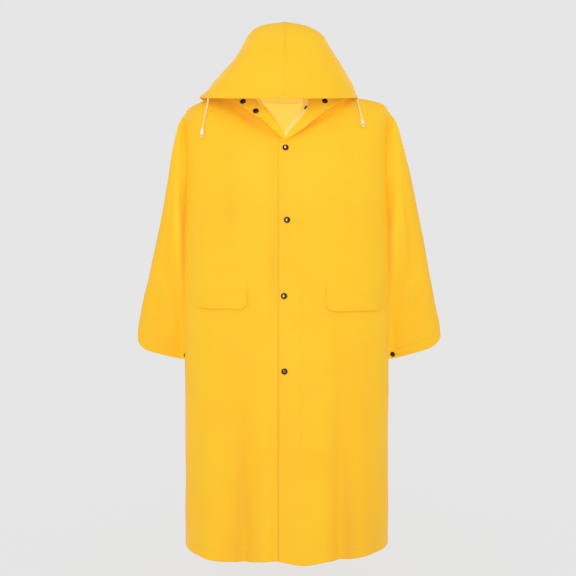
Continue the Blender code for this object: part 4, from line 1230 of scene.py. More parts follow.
def hood(side, angle, share):
    """Points of a hood half, at angles from its own side to the front and shares of the way up."""
    angle, share = np.broadcast_arrays(angle, share)
    side_z, front_z, back_z, right_x, left_x, front_depth, back_depth, square = (
        smooth(HOOD_KNOTS, column, share) for column in np.array(HOOD_RINGS).T
    )
    across, forward = unit_ring(angle, square)
    half = left_x - HOOD_CENTRE_X if side == LEFT else HOOD_CENTRE_X - right_x
    depth = np.where(forward > 0.0, front_depth, back_depth)
    end_z = np.where(forward > 0.0, front_z, back_z)
    drop = np.where(forward > 0.0, forward, forward * forward)
    x = HOOD_CENTRE_X + side * (half * across + 0.5 * SEAM_GAP)
    return np.stack([x, -depth * forward, side_z + (end_z - side_z) * drop], axis=-1)


def hood_climb(side, share):
    """Lengths up from the brim over the ear, at shares of the way to the crown."""
    return lengths(hood(side, 0.0, share[:, None]), 0)[:, 0]


print("hood from brim to crown:", round(float(hood_climb(LEFT, np.linspace(0.0, 1.0, 200))[-1]), 3), "m")

# %% [markdown]
# An empty hood slumps: soft dents run from the crown down to the temples, and shallow ones stand over the
# brim where the drawcord gathers it. The crown seam sinks a little between the two halves.

# %% Hood halves
HOOD_CREASES = (
    Crease(FRONT, -0.050, 0.150, -0.018, 0.085, 0.006, 0.014, -0.0026, 0.2, False),
    Crease(FRONT, 0.052, 0.165, 0.030, 0.070, -0.006, 0.018, 0.0024, 0.0, False),
    Crease(FRONT, -0.120, 0.090, -0.060, 0.020, 0.010, 0.020, 0.0030, 0.0, False),
    Crease(FRONT, 0.105, 0.105, 0.070, 0.015, -0.008, 0.016, -0.0024, 0.1, False),
    Crease(FRONT, -0.165, 0.040, -0.120, -0.006, 0.004, 0.012, -0.0022, 0.2, False),
    Crease(FRONT, 0.135, 0.040, 0.150, -0.004, 0.004, 0.010, 0.0018, 0.1, False),
    Crease(BACK, -0.045, 0.160, -0.075, 0.030, 0.012, 0.018, -0.0032, 0.2, False),
    Crease(BACK, 0.050, 0.150, 0.085, 0.020, -0.010, 0.018, -0.0030, 0.2, False),
    Crease(BACK, -0.130, 0.075, -0.030, 0.020, 0.012, 0.018, 0.0034, 0.0, False),
    Crease(BACK, 0.120, 0.080, 0.020, 0.035, -0.010, 0.018, 0.0030, 0.0, False),
    Crease(BACK, -0.100, 0.010, 0.010, -0.012, 0.006, 0.012, -0.0026, 0.1, False),
)
HOOD_SLUMP, HOOD_RIPPLE = (Wave(0.080, 0.0020, 5),), (Wave(0.030, 0.0006, 6),)
HOOD_CELL, HOOD_COLUMNS = 0.0042, 110
HOOD_FADE, MIDDLE_FREE, CROWN_FREE = 2.5, 0.02, 0.03  # no crease this close to the seam and the crown
CROWN_SEAM, CROWN_SEAM_START, CROWN_SEAM_RISE, CROWN_SEAM_END = 0.5, 0.04, 0.12, 0.02
CROWN_WELD = 0.006
HOOD_TONE, HOOD_RELIEF, CROWN_LIGHT_Z, CROWN_LIGHT_RISE = 0.3, 0.005, 0.06, 0.12


def hood_push(turns, plain, height, below_crown):
    """How far creases, waves, the brim's casing weld and the crown seam push a hood half out."""
    x, z = plain[..., 0], plain[..., 2]
    middle = np.abs(x - HOOD_CENTRE_X)
    push = creases_on(HOOD_CREASES, turns > 0.0, x, z) * off_the_sides(turns, HOOD_FADE)
    push = (push * ease(middle / MIDDLE_FREE) + waves(plain, HOOD_SLUMP)) * ease(below_crown / CROWN_FREE)
    push += waves(plain, HOOD_RIPPLE) + pressed(height - BRIM_WELD)
    seam = CROWN_SEAM * seam_valley(middle) * ease(below_crown / CROWN_SEAM_END)
    return push + seam * ease((z - CROWN_SEAM_START) / CROWN_SEAM_RISE)


def hood_piece(side, node):
    """One half of the hood, from its centre seam in front to the one behind."""
    turns = np.pi * (0.5 - np.linspace(0.0, 1.0, HOOD_COLUMNS))[None]
    fine = np.linspace(0.0, 1.0, 400)
    climb = hood_climb(side, fine)
    up = with_welds(np.linspace(0.0, climb[-1], round(climb[-1] / HOOD_CELL)), [BRIM_WELD])
    plain = hood(side, turns, np.interp(up, climb, fine)[:, None])
    along, across = np.gradient(plain, axis=0), np.gradient(plain, axis=1)
    normal = unit(np.cross(across, along)) * -side
    height = up[:, None]
    push = hood_push(turns, plain, height, climb[-1] - height)
    # painted light and shade: the hood's colour is deeper in its dents, lighter on its bulges, a little
    # lighter overall and lighter still towards the crown
    crown_light = ease((plain[..., 2] - CROWN_LIGHT_Z) / CROWN_LIGHT_RISE)
    tone = np.clip(push / HOOD_RELIEF, -1.0, 1.0) + HOOD_TONE + crown_light
    welds = FAR, height - BRIM_WELD, np.abs(plain[..., 0] - HOOD_CENTRE_X) - CROWN_WELD
    cloth(node, plain + normal * push[..., None], plain, welds, (tone, 0.0, 0.0),
          flip=side == RIGHT)


hood_piece(LEFT, "hood_left")
hood_piece(RIGHT, "hood_right")

# %% [markdown]
# ## The collar
# The collar is one band round the neck opening. It stands up from the seam, rolls over, and falls outwards,
# widest at the back of the leaves. One table gives four sizes of its section at shares of the way round, and
# a second one the eight points of a section, from the seam over the roll to the free edge, in shares of
# those sizes.

# %% Collar sections
COLLAR_GAP = 0.0012  # the seam stands this far off the body's cloth
CollarStation = namedtuple("CollarStation", "at rise lean fall lift")
COLLAR_STATIONS = (
    CollarStation(0.000, 0.003, 0.003, 0.004, 0.003),
    CollarStation(0.060, 0.008, 0.011, 0.014, 0.005),
    CollarStation(0.130, 0.012, 0.008, 0.028, 0.006),
    CollarStation(0.190, 0.017, 0.024, 0.040, 0.007),
    CollarStation(0.250, 0.022, 0.018, 0.050, 0.010),
    CollarStation(0.350, 0.027, 0.008, 0.042, 0.008),
    CollarStation(0.550, 0.028, 0.006, 0.038, 0.007),
    CollarStation(0.720, 0.026, 0.006, 0.034, 0.010),
    CollarStation(0.800, 0.020, 0.020, 0.026, 0.014),
    CollarStation(0.870, 0.014, 0.013, 0.023, 0.013),
    CollarStation(0.940, 0.009, 0.004, 0.018, 0.009),
    CollarStation(1.000, 0.004, 0.001, 0.008, 0.004),
)
Bend = namedtuple("Bend", "set_out lean facing fall stand rise lift sink")
COLLAR_BENDS = (  # the first four lead outwards, the last four upwards
    Bend(0.0015, 0.00, 0.00, 0.00, 0.0, 0.00, 0.00, 0.00),  # the seam
    Bend(0.0015, 0.00, 0.00, 0.00, 1.0, 0.00, 0.00, 0.00),
    Bend(0.0000, -0.55, -0.55, 0.00, 0.0, 0.55, 0.00, 0.00),
    Bend(0.0000, -1.00, -1.00, 0.00, 0.0, 0.88, 0.00, -0.25),
    Bend(0.0040, -1.00, 0.00, 0.00, 0.0, 1.03, 0.00, 0.00),  # the roll
    Bend(0.0000, 0.00, 0.00, 0.34, 0.0, 0.80, 0.15, 0.00),
    Bend(0.0000, 0.00, 0.00, 0.68, 0.0, 0.35, 0.60, 0.00),
    Bend(0.0000, 0.00, 0.00, 1.00, 0.0, 0.00, 1.00, 0.00),  # the free edge
)
ROLL = 4  # the roll's place among the eight
STAND, STAND_SHARE = 0.003, 0.4  # the section starts straight up, for this far or this share of its rise
print("the collar rises up to", 1000 * max(station.rise for station in COLLAR_STATIONS), "mm")

# %% [markdown]
# The seam of the band follows the neck opening: up the edge of the left front, round the back of the neck and
# down the edge of the right one. Out of each place on it go two directions, one up out of the cloth and one
# away from the neck, and the section is drawn with these two.

# %% Collar points
COLLAR_START_X = 0.004
V_FOOT_LINE = UNDERARM + 0.55 * (NECK - UNDERARM)
NECK_STEPS = 240
COLLAR_CAD_SECTIONS = 42  # the frame's own count, by which snaps are placed
COLLAR_SECTIONS = 210


def neck_path(starts):
    """Angles and lengths round the neck, from the left foot of the opening over the back to the right one."""
    lines = np.linspace(V_FOOT_LINE, NECK, NECK_STEPS + 1)
    sides = []
    for side, start in zip((LEFT, RIGHT), starts):
        angle, in_v = front_edge(side, lines)
        world = own_angle(side, angle)
        kept = in_v & (side * body(world, lines)[:, 0] >= start)
        sides.append((world[kept], lines[kept]))
    (left, left_lines), (right, right_lines) = sides
    right = right - TURN
    behind = np.linspace(left[-1], right[-1], NECK_STEPS + 2)[1:-1]
    angles = np.concatenate([left, behind, right[::-1]])
    return angles, np.concatenate([left_lines, np.full(NECK_STEPS, NECK), right_lines[::-1]])


def evened(vectors, reach):
    """Directions averaged over their neighbours along the band, so that the cloth turns corners softly."""
    weights = np.hanning(2 * reach + 3)[1:-1]
    padded = np.concatenate([vectors[:1]] * reach + [vectors] + [vectors[-1:]] * reach)
    return unit(sum(w * padded[i:i + len(vectors)] for i, w in enumerate(weights)))


def collar_points(count, starts=(COLLAR_START_X, COLLAR_START_X), facing=((0.0, 0.0), (1.0, 0.0)), reach=0):
    """Rows of points across the collar at even places round the neck. The facing reaches further inwards."""
    angles, lines = neck_path(starts)
    along = lengths(body(angles, lines)[None], 1)[0]
    at = np.linspace(0.0, along[-1], count + 1)
    angles, lines = np.interp(at, along, angles), np.interp(at, along, lines)
    foot, up = coat(angles, lines)
    out = unit(np.cross(np.gradient(body(angles, lines), axis=0), up))
    if reach:
        out, up = evened(out, reach), evened(up, reach)
    share = np.linspace(0.0, 1.0, count + 1)
    places, *sizes = np.array(COLLAR_STATIONS).T
    rise, lean, fall, lift = (smooth(places, size, share) for size in sizes)
    inner = smooth(*np.array(facing).T, share)
    bends = Bend(*np.array(COLLAR_BENDS).T[:, :, None])
    across = bends.set_out + bends.lean * lean + bends.facing * inner + bends.fall * fall
    height = (bends.stand * np.minimum(STAND, STAND_SHARE * rise) + bends.rise * rise + bends.lift * lift
              + bends.sink * inner)
    foot = foot + up * (WALL + COLLAR_GAP)
    return foot[:, None] + out[:, None] * across.T[..., None] + up[:, None] * height.T[..., None]


print("collar sections:", collar_points(COLLAR_CAD_SECTIONS).shape)

# %% [markdown]
# A smooth curve through the eight points gives the roll its round shoulder. The band is faced with the
# pale reverse from its seam to the roll, and the leaf beyond shows the yellow face, so the columns are
# counted in two parts that meet exactly on the roll. The facing reaches a little further inwards beside the
# opening. The free edge waves slightly, as an unpressed collar does, and has no weld.

# %% Collar
FACING_COLUMNS, LEAF_COLUMNS = 14, 21
FACED_STARTS, EVENED_OVER = (-0.0125, -0.0005), 9  # the faced band starts further down the opening
FACED_MIDDLE, FACED_HALF = 0.44, 0.43  # shares of the way round between which the reverse shows
COLLAR_WAVES, LEAF_LIFT, LOOSE_FROM = (Wave(0.045, 0.0022, 7),), 0.0006, 0.3
COLLAR_TONE, COLLAR_GLOW, LEAF_GLOW, BACK_GLOW = 1.2, 0.12, 0.45, 0.55
BACK_FROM, BACK_TO, BACK_SOFTNESS = 0.22, 0.76, 0.05  # the shares where the collar's back begins and ends
FACING = ((0.00, 0.0), (0.045, 0.007), (0.10, 0.012), (0.19, 0.011), (0.26, 0.003), (0.40, 0.0), (0.70, 0.0),
          (0.78, 0.010), (0.84, 0.008), (0.90, 0.001), (1.00, 0.0))


def fine_columns(coarse, roll):
    """More columns on a smooth curve through each row's points, with one of them on the roll."""
    knots = lengths(coarse, 1).mean(axis=0)
    at = np.concatenate([np.linspace(0.0, knots[roll], FACING_COLUMNS, endpoint=False),
                         np.linspace(knots[roll], knots[-1], LEAF_COLUMNS)])
    return np.moveaxis(smooth(knots, np.moveaxis(coarse, 1, 0), at), 0, 1), at


def collar_piece():
    """The collar, faced with the reverse of the cloth up to its roll."""
    coarse = collar_points(COLLAR_SECTIONS, FACED_STARTS, FACING, EVENED_OVER)
    plain, place_across = fine_columns(coarse, ROLL)
    along, across = np.gradient(plain, axis=0), np.gradient(plain, axis=1)
    normal = unit(np.cross(across, along))
    loose = ease((place_across / place_across[-1] - LOOSE_FROM) / (1.0 - LOOSE_FROM))
    push = (waves(plain, COLLAR_WAVES) + LEAF_LIFT) * loose
    share = np.linspace(0.0, 1.0, len(plain))[:, None]
    at_back = ease((share - BACK_FROM) / BACK_SOFTNESS) * ease((BACK_TO - share) / BACK_SOFTNESS)
    # the collar's colour is a little lighter, and emission paints light on its face and more on its reverse,
    # most at the back of the neck
    tone = COLLAR_TONE, COLLAR_GLOW, LEAF_GLOW + BACK_GLOW * at_back
    in_facing = np.arange(plain.shape[1] - 1) < FACING_COLUMNS
    beside_ends = np.abs(share[:-1] - FACED_MIDDLE) < FACED_HALF
    cloth("collar", plain + normal * push[..., None], plain, (FAR, FAR, FAR), tone,
          shows_reverse=in_facing & beside_ends)


collar_piece()

# %% [markdown]
# ## The pocket flaps
# A flap is made from the points of its own front, moved out, so it follows every fold of the cloth below.
# Its top and its outer side are welded flat. From there it comes free little by little, and its inner lower
# corner, which is round, stands a few millimetres proud.

# %% Pocket flaps
FLAP_TOP_Z, FLAP_WELD, FLAP_WELD_SHARE = -0.468, 0.006, 0.6
FLAP_INNER = math.radians(69.3)
Flap = namedtuple("Flap", "side name outer low_z radius")
FLAPS = (Flap(LEFT, "left", math.radians(26.0), -0.566, 0.024),
         Flap(RIGHT, "right", math.radians(36.0), -0.560, 0.018))
FLAP_ROWS, FLAP_COLUMNS = 44, 60
FLAP_CROWDING = 1.5  # crowds the columns towards the round corner, so that it is round
FLAP_LINE = 0.65  # about the flaps' height above the hem
SEWN_GAP, FREE_GAP, FREE_DROP, FREE_WIDTH = 0.0003, 0.0063, 0.090, 0.070
FLAP_WAVES, EDGE_CURL, EDGE_CURL_WIDTH, EDGE_CURL_STEP = (Wave(0.050, 0.0016, 8),), 0.0020, 0.02, 0.021
FLAP_PAINTED_SHADE, DEEPER_DROP, DEEPER_WIDTH, FLAP_INSIDE_GLOW = 0.7, 0.030, 0.040, 0.3
STRAIGHT_AHEAD, HEIGHT_STEPS = 0.5 * math.pi, 1600


def line_at(z, angle):
    """Length up the body at which a front column has each height."""
    lines = np.linspace(0.0, NECK, HEIGHT_STEPS)
    return np.interp(z, body(angle, lines)[:, 2], lines)


def inside_flap(width, drop, radius):
    """Distance of each place from the flap's outline, whose inner lower corner is round."""
    over_side, over_low = width - (width[:, -1:] - radius), drop - (drop[-1:] - radius)
    in_corner = (over_side > 0.0) & (over_low > 0.0)
    return radius - np.where(in_corner, np.hypot(over_side, over_low), np.maximum(over_side, over_low))


def flap_lift(plain, width, drop, inside):
    """How far a flap stands off its front."""
    free = ease(drop / FREE_DROP) * ease(width / FREE_WIDTH)
    curl = EDGE_CURL * ease(1.0 - inside / EDGE_CURL_WIDTH) * np.sin(width / EDGE_CURL_STEP)
    weld = FLAP_WELD_SHARE * pressed(inside - FLAP_WELD)
    return SEWN_GAP + (FREE_GAP + weld + waves(plain, FLAP_WAVES) + curl) * free


def flap_piece(side, name, outer, low_z, radius):
    """One pocket flap."""
    own = outer + (FLAP_INNER - outer) * (1.0 - np.linspace(1.0, 0.0, FLAP_COLUMNS) ** FLAP_CROWDING)
    x = body(own_angle(side, own), FLAP_LINE)[:, 0]
    near = np.clip(radius - np.abs(x - x[-1]), 0.0, radius)
    low = low_z + radius - np.sqrt(radius**2 - near**2)
    share = np.linspace(0.0, 1.0, FLAP_ROWS)[:, None]
    line = line_at(FLAP_TOP_Z + (low - FLAP_TOP_Z) * share, STRAIGHT_AHEAD)
    angle = own_angle(side, own)[None]
    plain = body(angle, line)
    points, normal = coat(angle, line)
    width, drop = lengths(plain, 1), lengths(plain, 0).max(axis=1, keepdims=True) * share
    inside = inside_flap(width, lengths(plain, 0), radius)
    points = points + normal * flap_lift(plain, width, drop, inside)[..., None] + FORWARD_GAP
    # painted shade: the flap's free lower part is painted deeper, and its reverse carries painted light as
    # emission
    painted_shade = FLAP_PAINTED_SHADE * ease(drop / DEEPER_DROP) * ease(width / DEEPER_WIDTH)
    tone = painted_body_light_and_shade(points, normal, plain, angle) - painted_shade, 0.0, FLAP_INSIDE_GLOW
    cloth(f"pocket_flap_{name}", points, plain, (inside - FLAP_WELD, FAR, FAR), tone, flip=side == RIGHT)


for flap in FLAPS:
    flap_piece(*flap)

# %% [markdown]
# ## The snaps
# A snap cap is stamped from thin metal, lacquered dark, with a rolled rim round a low dome. Its middle is
# nearly flat and catches one clear glint of the key light. On the placket's caps the middle is also painted
# brighter, a painted highlight. A turned profile does this: a handful of points and a Screw modifier. The
# caps stand where the frame's do.

# %% Snap material
LACQUER_DARK, LACQUER_BROWN = (0.052, 0.024, 0.014, 1.0), (0.074, 0.036, 0.022, 1.0)
PAINTED_GLINT_MIDDLE, PLAIN_MIDDLE = (0.210, 0.150, 0.128, 1.0), (0.060, 0.030, 0.018, 1.0)
GLINT_TO, GLINT_FROM = 0.0044, 0.0030  # distances from the middle where the painted highlight ends and is full
LACQUER_SMOOTH, LACQUER_ROUGH = 0.12, 0.18


def own_place(tree):
    """Each point's place in its own object's coordinates."""
    return tree.nodes.new("ShaderNodeTexCoord").outputs["Object"]


def snap_finish(name, middle):
    """Dark lacquer on metal, with another colour in the middle of the cap; a bright one there is a painted
    highlight.
    """
    made, tree, shader = new_material(name, 0.16, Metallic=1.0)
    place = own_place(tree)
    skin = place_group(tree, grain, Place=place, Grain_size=0.0006, Patch_size=0.004)
    x, y, _ = apart_xyz(tree, place)
    from_middle = maths(tree, "SQRT", summed(tree, product(tree, x, x), product(tree, y, y)))
    lacquer = mix_colours(tree, skin["Patches"], LACQUER_DARK, LACQUER_BROWN)
    glint_spot = soft_range(tree, from_middle, GLINT_TO, GLINT_FROM)
    tree.links.new(mix_colours(tree, glint_spot, lacquer, middle), shader.inputs["Base Color"])
    gloss = soft_range(tree, skin["Patches"], PATCH_LOW, PATCH_HIGH, LACQUER_SMOOTH, LACQUER_ROUGH)
    tree.links.new(gloss, shader.inputs["Roughness"])
    print("material", name, "has", len(tree.nodes), "nodes")
    return made


# painted highlight: the placket caps' middle is painted bright
snap_painted_glint = snap_finish("snap_lacquer_painted_glint", PAINTED_GLINT_MIDDLE)
snap_plain = snap_finish("snap_lacquer", PLAIN_MIDDLE)

# %% [markdown]
# The profile is given in shares of the cap's radius and height, from the middle of the dome to the rim and
# back under it, so one table serves both sizes.

# %% Snap caps
SNAP_RADIUS, SNAP_HEIGHT, CUFF_SNAP_RADIUS = 0.0078, 0.0042, 0.0070
SNAP_GAP, COLLAR_SNAP_GAP = 0.0006, 0.0012
SNAP_PROFILE = ((0.00, 1.00), (0.20, 0.998), (0.40, 0.992), (0.56, 0.981), (0.63, 0.94), (0.69, 0.84),
                (0.74, 0.66), (0.78, 0.46), (0.82, 0.45), (0.90, 0.45), (0.96, 0.36), (1.00, 0.22),
                (0.98, 0.09), (0.92, 0.00), (0.00, 0.00))
TURNING_STEPS, MERGE_DISTANCE = 48, 0.00002
SEARCH_TURN, SEARCH_STEPS = 0.3, 601  # how a placket snap's angle is searched for


def turned(name, profile, point, axis, finish):
    """Turned solid, standing on a point along an axis."""
    data = bpy.data.meshes.new(name)
    data.from_pydata([(r, 0.0, h) for r, h in profile], [(i, i + 1) for i in range(len(profile) - 1)], [])
    data.materials.append(finish)
    piece = add_object(name, data)
    screw = piece.modifiers.new("Turn", "SCREW")
    screw.steps = screw.render_steps = TURNING_STEPS
    screw.use_merge_vertices, screw.merge_threshold = True, MERGE_DISTANCE
    piece.location = Vector(point)
    piece.rotation_mode = "QUATERNION"
    piece.rotation_quaternion = Vector(axis).to_track_quat("Z", "Y")
    return piece


def snap_cap(node, radius, point, axis, finish=snap_plain):
    """Snap cap in place of the frame's plain one."""
    height = SNAP_HEIGHT * radius / SNAP_RADIUS
    profile = [(r * radius, h * height) for r, h in SNAP_PROFILE]
    tie(turned(node + "_cap", profile, point, axis, finish), "snap_cap", node)


for number, (x, z) in enumerate(FRONT_SNAPS, 1):
    line = line_at(z, STRAIGHT_AHEAD)
    turns = np.linspace(STRAIGHT_AHEAD - SEARCH_TURN, STRAIGHT_AHEAD + SEARCH_TURN, SEARCH_STEPS)
    angle = np.interp(-x, -body(turns, line)[:, 0], turns)
    point, normal = coat(angle, line)
    snap_cap(f"snap_front_{number}", SNAP_RADIUS, point + normal * (WALL + SNAP_GAP), normal, snap_painted_glint)
print("placket snaps:", len(FRONT_SNAPS))

# %% [markdown]
# The collar's caps are placed by their section and their place across the band, and the cuffs' caps by
# their turn round the last rings of the sleeve. Both read a point and a direction between grid points.

# %% Snaps on the collar and the cuffs
CollarSnap = namedtuple("CollarSnap", "section across")
COLLAR_SNAPS = (CollarSnap(7.6, 5.4), CollarSnap(5.1, 3.1), CollarSnap(36.4, 5.5), CollarSnap(34.2, 5.5))
CUFF_SNAPS = ((LEFT, "left", math.radians(142.0)), (RIGHT, "right", math.radians(160.0)))
CUFF_SNAP_RISE, CUFF_SNAP_UP = 0.52, 0.012  # rows above the last ring, and about how high that is


def grid_point(grid, row, column):
    """Point between a grid's points."""
    i, j = min(int(row), len(grid) - 2), min(int(column), grid.shape[1] - 2)
    low = grid[i, j] + (grid[i, j + 1] - grid[i, j]) * (column - j)
    high = grid[i + 1, j] + (grid[i + 1, j + 1] - grid[i + 1, j]) * (column - j)
    return low + (high - low) * (row - i)


def snap_on_grid(node, radius, gap, grid, row, column, side=1.0):
    """Snap cap on a grid, along a direction that is evened out over half a cell each way."""
    across = grid_point(grid, row, column + 0.5) - grid_point(grid, row, column - 0.5)
    along = grid_point(grid, row + 0.5, column) - grid_point(grid, row - 0.5, column)
    normal = unit(np.cross(across, along)) * side
    snap_cap(node, radius, grid_point(grid, row, column) + normal * (WALL + gap), normal)


band = collar_points(COLLAR_CAD_SECTIONS)
for number, place in enumerate(COLLAR_SNAPS, 1):
    snap_on_grid(f"snap_collar_{number}", SNAP_RADIUS, COLLAR_SNAP_GAP, band, *place)
for side, name, turn in CUFF_SNAPS:
    rings, along = sleeve_rows(side)
    rings[..., 2] += cuff_shift(side, along, CUFF_SNAP_UP)
    rings = np.concatenate([rings, rings[:, :1]], axis=1)
    row, column = len(rings) - 1 - CUFF_SNAP_RISE, ((turn / TURN + 0.5) % 1.0) * SLEEVE_COLUMNS
    snap_on_grid(f"snap_cuff_{name}", CUFF_SNAP_RADIUS, SNAP_GAP, rings, row, column, side)
print("collar snaps:", len(COLLAR_SNAPS), "and cuff snaps:", len(CUFF_SNAPS))

# %% [markdown]
# ## The drawcord
# A round cord runs in the brim's casing, and its two free ends hang out over the chest. Its yarn is matt and
# pale, with the same fine grain as the other finishes at a smaller size.

# %% Cord material
YARN_DEEP, YARN_PALE = (0.93, 0.76, 0.34, 1.0), (0.97, 0.84, 0.50, 1.0)

cord_yarn, tree, shader = new_material("cord_yarn", 0.8, Specular_IOR_Level=0.3)
skin = place_group(tree, grain, Place=own_place(tree), Grain_size=0.0004, Patch_size=0.006)
tree.links.new(mix_colours(tree, skin["Patches"], YARN_DEEP, YARN_PALE), shader.inputs["Base Color"])
add_bump(tree, shader, skin["Height"])
print("material", cord_yarn.name, "has", len(tree.nodes), "nodes")

# %% [markdown]
# The cord is braided: two sets of strands wind round it in opposite ways. The braid is a tube whose radius
# swells where a strand lies on top. Its path is a short list of points, given as the frame's is, on
# a smooth curve.

# %% Braided cords
CORD_DIAMETER = 0.0040
LEFT_CORD = ((0.1872, -0.0408, -0.0105), (0.1880, -0.0505, -0.0180), (0.1893, -0.0615, -0.0285),
             (0.1913, -0.0718, -0.0402), (0.1937, -0.0815, -0.0535), (0.1962, -0.0922, -0.0698))
RIGHT_CORD = ((-0.2057, -0.0786, -0.0138), (-0.2066, -0.0790, -0.0240), (-0.2103, -0.0805, -0.0440),
              (-0.2140, -0.0848, -0.0620), (-0.2170, -0.0917, -0.0790), (-0.2187, -0.0985, -0.0950))
STRANDS, BRAID_PITCH, BRAID_DEPTH, CORD_SIDES = 5, 0.0062, 0.10, 36
CORD_STEP = 0.0005
BRAID_ACROSS = np.array([0.0, 1.0, 0.3])  # a direction that no stretch of cord runs along


def braid(name, path, radius):
    """Braided tube along a path, with closed ends."""
    path = np.asarray(path)
    along = lengths(path[None], 1)[0]
    forward = unit(np.gradient(path, axis=0))
    side_way = unit(np.cross(forward, BRAID_ACROSS))
    other = np.cross(forward, side_way)
    turn = TURN * np.arange(CORD_SIDES) / CORD_SIDES
    twist = TURN * along[:, None] / BRAID_PITCH
    strands = np.maximum(np.cos(STRANDS * turn + twist), np.cos(STRANDS * turn - twist))
    grow = radius * (1.0 - BRAID_DEPTH + BRAID_DEPTH * strands)
    ring = side_way[:, None] * np.cos(turn)[:, None] + other[:, None] * np.sin(turn)[:, None]
    points = path[:, None] + ring * grow[..., None]
    first, last = (np.broadcast_to(end, (1, CORD_SIDES, 3)) for end in (path[0], path[-1]))
    mesh = grid_mesh(name, np.concatenate([first, points, last]), True, True)
    mesh.materials.append(cord_yarn)
    return add_object(name, mesh)


def cord_path(route):
    """Closely spaced points on a smooth curve through the route."""
    route = np.array(route)
    along = lengths(route[None], 1)[0]
    return smooth(along, route, np.linspace(0.0, along[-1], round(along[-1] / CORD_STEP)))


def path_length(path):
    """Whole length of a path."""
    return float(lengths(path[None], 1)[0, -1])


paths = {"left": cord_path(LEFT_CORD), "right": cord_path(RIGHT_CORD)}
cords = {name: braid(f"cord_{name}_braid", path, 0.5 * CORD_DIAMETER) for name, path in paths.items()}
print("free ends:", {name: round(path_length(path), 4) for name, path in paths.items()})

# %% [markdown]
# ## The cord's ends
# A soft plastic bell is pressed on each end of the cord. Such plastic lets a little light in below its
# surface, so its shader has some subsurface scattering, over a couple of millimetres.

# %% Bell material
BELL_DEEP, BELL_PALE = (0.93, 0.84, 0.62, 1.0), (0.97, 0.89, 0.70, 1.0)
BELL_SMOOTH, BELL_ROUGH = 0.34, 0.46

bell_plastic, tree, shader = new_material("bell_plastic", 0.4, Specular_IOR_Level=0.5,
                                          Subsurface_Weight=0.1, Subsurface_Scale=0.002)
skin = place_group(tree, grain, Place=own_place(tree), Grain_size=0.0008, Patch_size=0.008)
tree.links.new(mix_colours(tree, skin["Patches"], BELL_DEEP, BELL_PALE), shader.inputs["Base Color"])
gloss = soft_range(tree, skin["Patches"], PATCH_LOW, PATCH_HIGH, BELL_SMOOTH, BELL_ROUGH)
tree.links.new(gloss, shader.inputs["Roughness"])
print("material", bell_plastic.name, "has", len(tree.nodes), "nodes")

# %% [markdown]
# The bell is turned like a snap: closed on top, flared to its rim, and open at the mouth. The cord's tail
# shows below it, a few millimetres of the same braid.

# %% Bells and tails
BELL_LENGTH, BELL_RADIUS, TAIL_LENGTH, TAIL_RADIUS, TAIL_POINTS = 0.0185, 0.0055, 0.008, 0.0019, 24
BELL_PROFILE = ((0.0, 0.000), (0.50, 0.000), (0.64, 0.030), (0.69, 0.090), (0.70, 0.18), (0.74, 0.40),
                (0.82, 0.65), (0.92, 0.87), (0.98, 0.955), (1.00, 0.985), (0.96, 1.000), (0.88, 0.985),
                (0.80, 0.90), (0.0, 0.86))
BELL_INSIDE = BELL_PROFILE[-1][1]  # how far down the bell its hollow starts, where the tail comes out


def end_piece(name, route):
    """Bell and tail on one end of the cord."""
    top, before = Vector(route[-1]), Vector(route[-2])
    axis = (before - top).normalized()
    profile = [(r * BELL_RADIUS, -SEAM_GAP - s * BELL_LENGTH) for r, s in BELL_PROFILE]
    bell = turned(f"cord_end_{name}_bell", profile, top, axis, bell_plastic)
    start, end = top - axis * BELL_INSIDE * BELL_LENGTH, top - axis * (BELL_LENGTH + TAIL_LENGTH)
    shares = np.linspace(0.0, 1.0, TAIL_POINTS)[:, None]
    path = np.array(start) * (1.0 - shares) + np.array(end) * shares
    return bell, braid(f"cord_end_{name}_tail", path, TAIL_RADIUS)


for name, route in (("left", LEFT_CORD), ("right", RIGHT_CORD)):
    bell, tail = end_piece(name, route)
    cord, path = cords[name], paths[name]
    tie(cord, "cord", f"cord_{name}")
    tie(bell, "cord_end", f"cord_end_{name}")
    tie(tail, "cord")
    print(cord.name, "ends in", bell.name, "and", tail.name)

# %% [markdown]
# ## Floor, backdrop and light
# The coat hangs just above a pale floor. Far away, the floor takes the very tone of the backdrop, so no
# horizon shows behind the coat. A mix of lit paper and a plain glow does this. The glow's share is least in
# the middle of the floor, so that the coat still shades it a little.

# %% Floor
PALE, MIRRORED = (0.79, 0.79, 0.79, 1.0), (0.30, 0.30, 0.30, 1.0)
FLOOR_Z, FLOOR_RADIUS, FLOOR_SIDES = -1.33, 60.0, 96
MIDDLE_RADIUS, MIDDLE_GLOW, GLOW_RADIUS = 0.3, 0.88, 2.2  # the glow's share there, and where it is all


def mix_shaders(tree, share, first, second, output):
    """Mix Shader node, linked to the output."""
    node = tree.nodes.new("ShaderNodeMixShader")
    for value, socket in zip((share, first, second), node.inputs):
        tree.links.new(value, socket)
    tree.links.new(node.outputs[0], tree.nodes[output].inputs["Surface"])


floor_paper, tree, shader = new_material("floor_paper", 0.9, Specular_IOR_Level=0.1, Base_Color=PALE)
glow = tree.nodes.new("ShaderNodeEmission")
glow.inputs["Color"].default_value = PALE
distance = tree.nodes.new("ShaderNodeVectorMath")
distance.operation = "LENGTH"
tree.links.new(own_place(tree), distance.inputs[0])
far_off = soft_range(tree, distance.outputs["Value"], MIDDLE_RADIUS, GLOW_RADIUS, MIDDLE_GLOW, 1.0)
mix_shaders(tree, far_off, shader.outputs[0], glow.outputs[0], "Material Output")

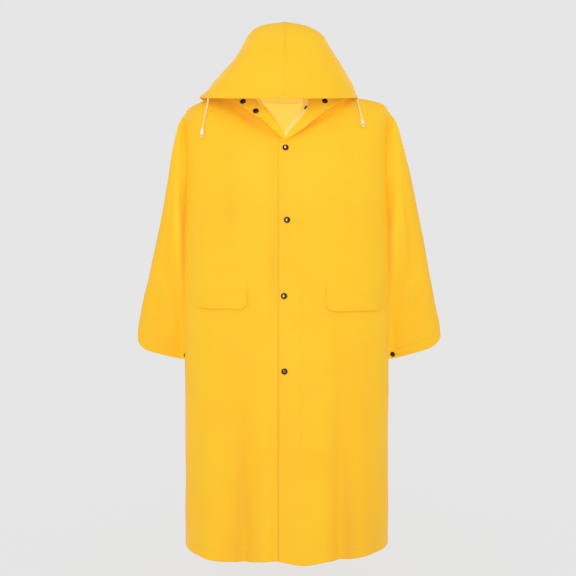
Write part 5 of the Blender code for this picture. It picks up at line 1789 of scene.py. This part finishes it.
bpy.ops.mesh.primitive_circle_add(vertices=FLOOR_SIDES, radius=FLOOR_RADIUS, fill_type="NGON",
                                  location=(0.0, 0.0, FLOOR_Z))
floor = bpy.context.active_object
floor.name = "floor"
floor.data.materials.append(floor_paper)
print("the floor lies", round(HEM_Z - FLOOR_Z, 3), "m below the hem")

# %% [markdown]
# A studio is darker than its backdrop, so what the gloss mirrors is darker than what the eye sees behind the
# coat. The Light Path node tells the two apart.

# %% Backdrop
world = bpy.data.worlds.new("studio")
bpy.context.scene.world = world
bpy.context.scene.view_settings.view_transform = "Standard"
world.use_nodes = True
tree = world.node_tree
seen, mirrored = tree.nodes["Background"], tree.nodes.new("ShaderNodeBackground")
seen.inputs["Color"].default_value = PALE
mirrored.inputs["Color"].default_value = MIRRORED
is_glossy = tree.nodes.new("ShaderNodeLightPath").outputs["Is Glossy Ray"]
mix_shaders(tree, is_glossy, seen.outputs[0], mirrored.outputs[0], "World Output")
print("world has", len(tree.nodes), "nodes")

# %% [markdown]
# The light comes from five paper screens. The key is a tall narrow one just over the camera, which gives each
# cap its one glint and lights the coat evenly from hood to hem. Two fills soften the sides, and two screens
# behind trace the outline of the sleeves and the hood.

# %% Lights
AIM = Vector((0.0, 0.0, -0.5))
Screen = namedtuple("Screen", "name place size power")
SCREENS = (
    Screen("key", (-0.15, -3.1, 0.70), (0.28, 3.2), 19.0),
    Screen("fill_left", (-2.4, -2.2, 0.6), (1.8, 1.8), 6.0),
    Screen("fill_right", (2.4, -2.2, 0.2), (1.8, 1.8), 4.0),
    Screen("back_left", (-1.8, 2.4, 1.0), (1.6, 1.6), 12.0),
    Screen("back_right", (1.8, 2.4, 1.0), (1.6, 1.6), 12.0),
)
for screen in SCREENS:
    light = bpy.data.lights.new(screen.name, "AREA")
    light.shape = "RECTANGLE"
    light.size, light.size_y = screen.size
    light.energy = screen.power
    lamp = add_object(screen.name, light)
    lamp.location = screen.place
    lamp.rotation_mode = "QUATERNION"
    lamp.rotation_quaternion = (AIM - Vector(screen.place)).to_track_quat("-Z", "Y")
print(len(SCREENS), "light screens")
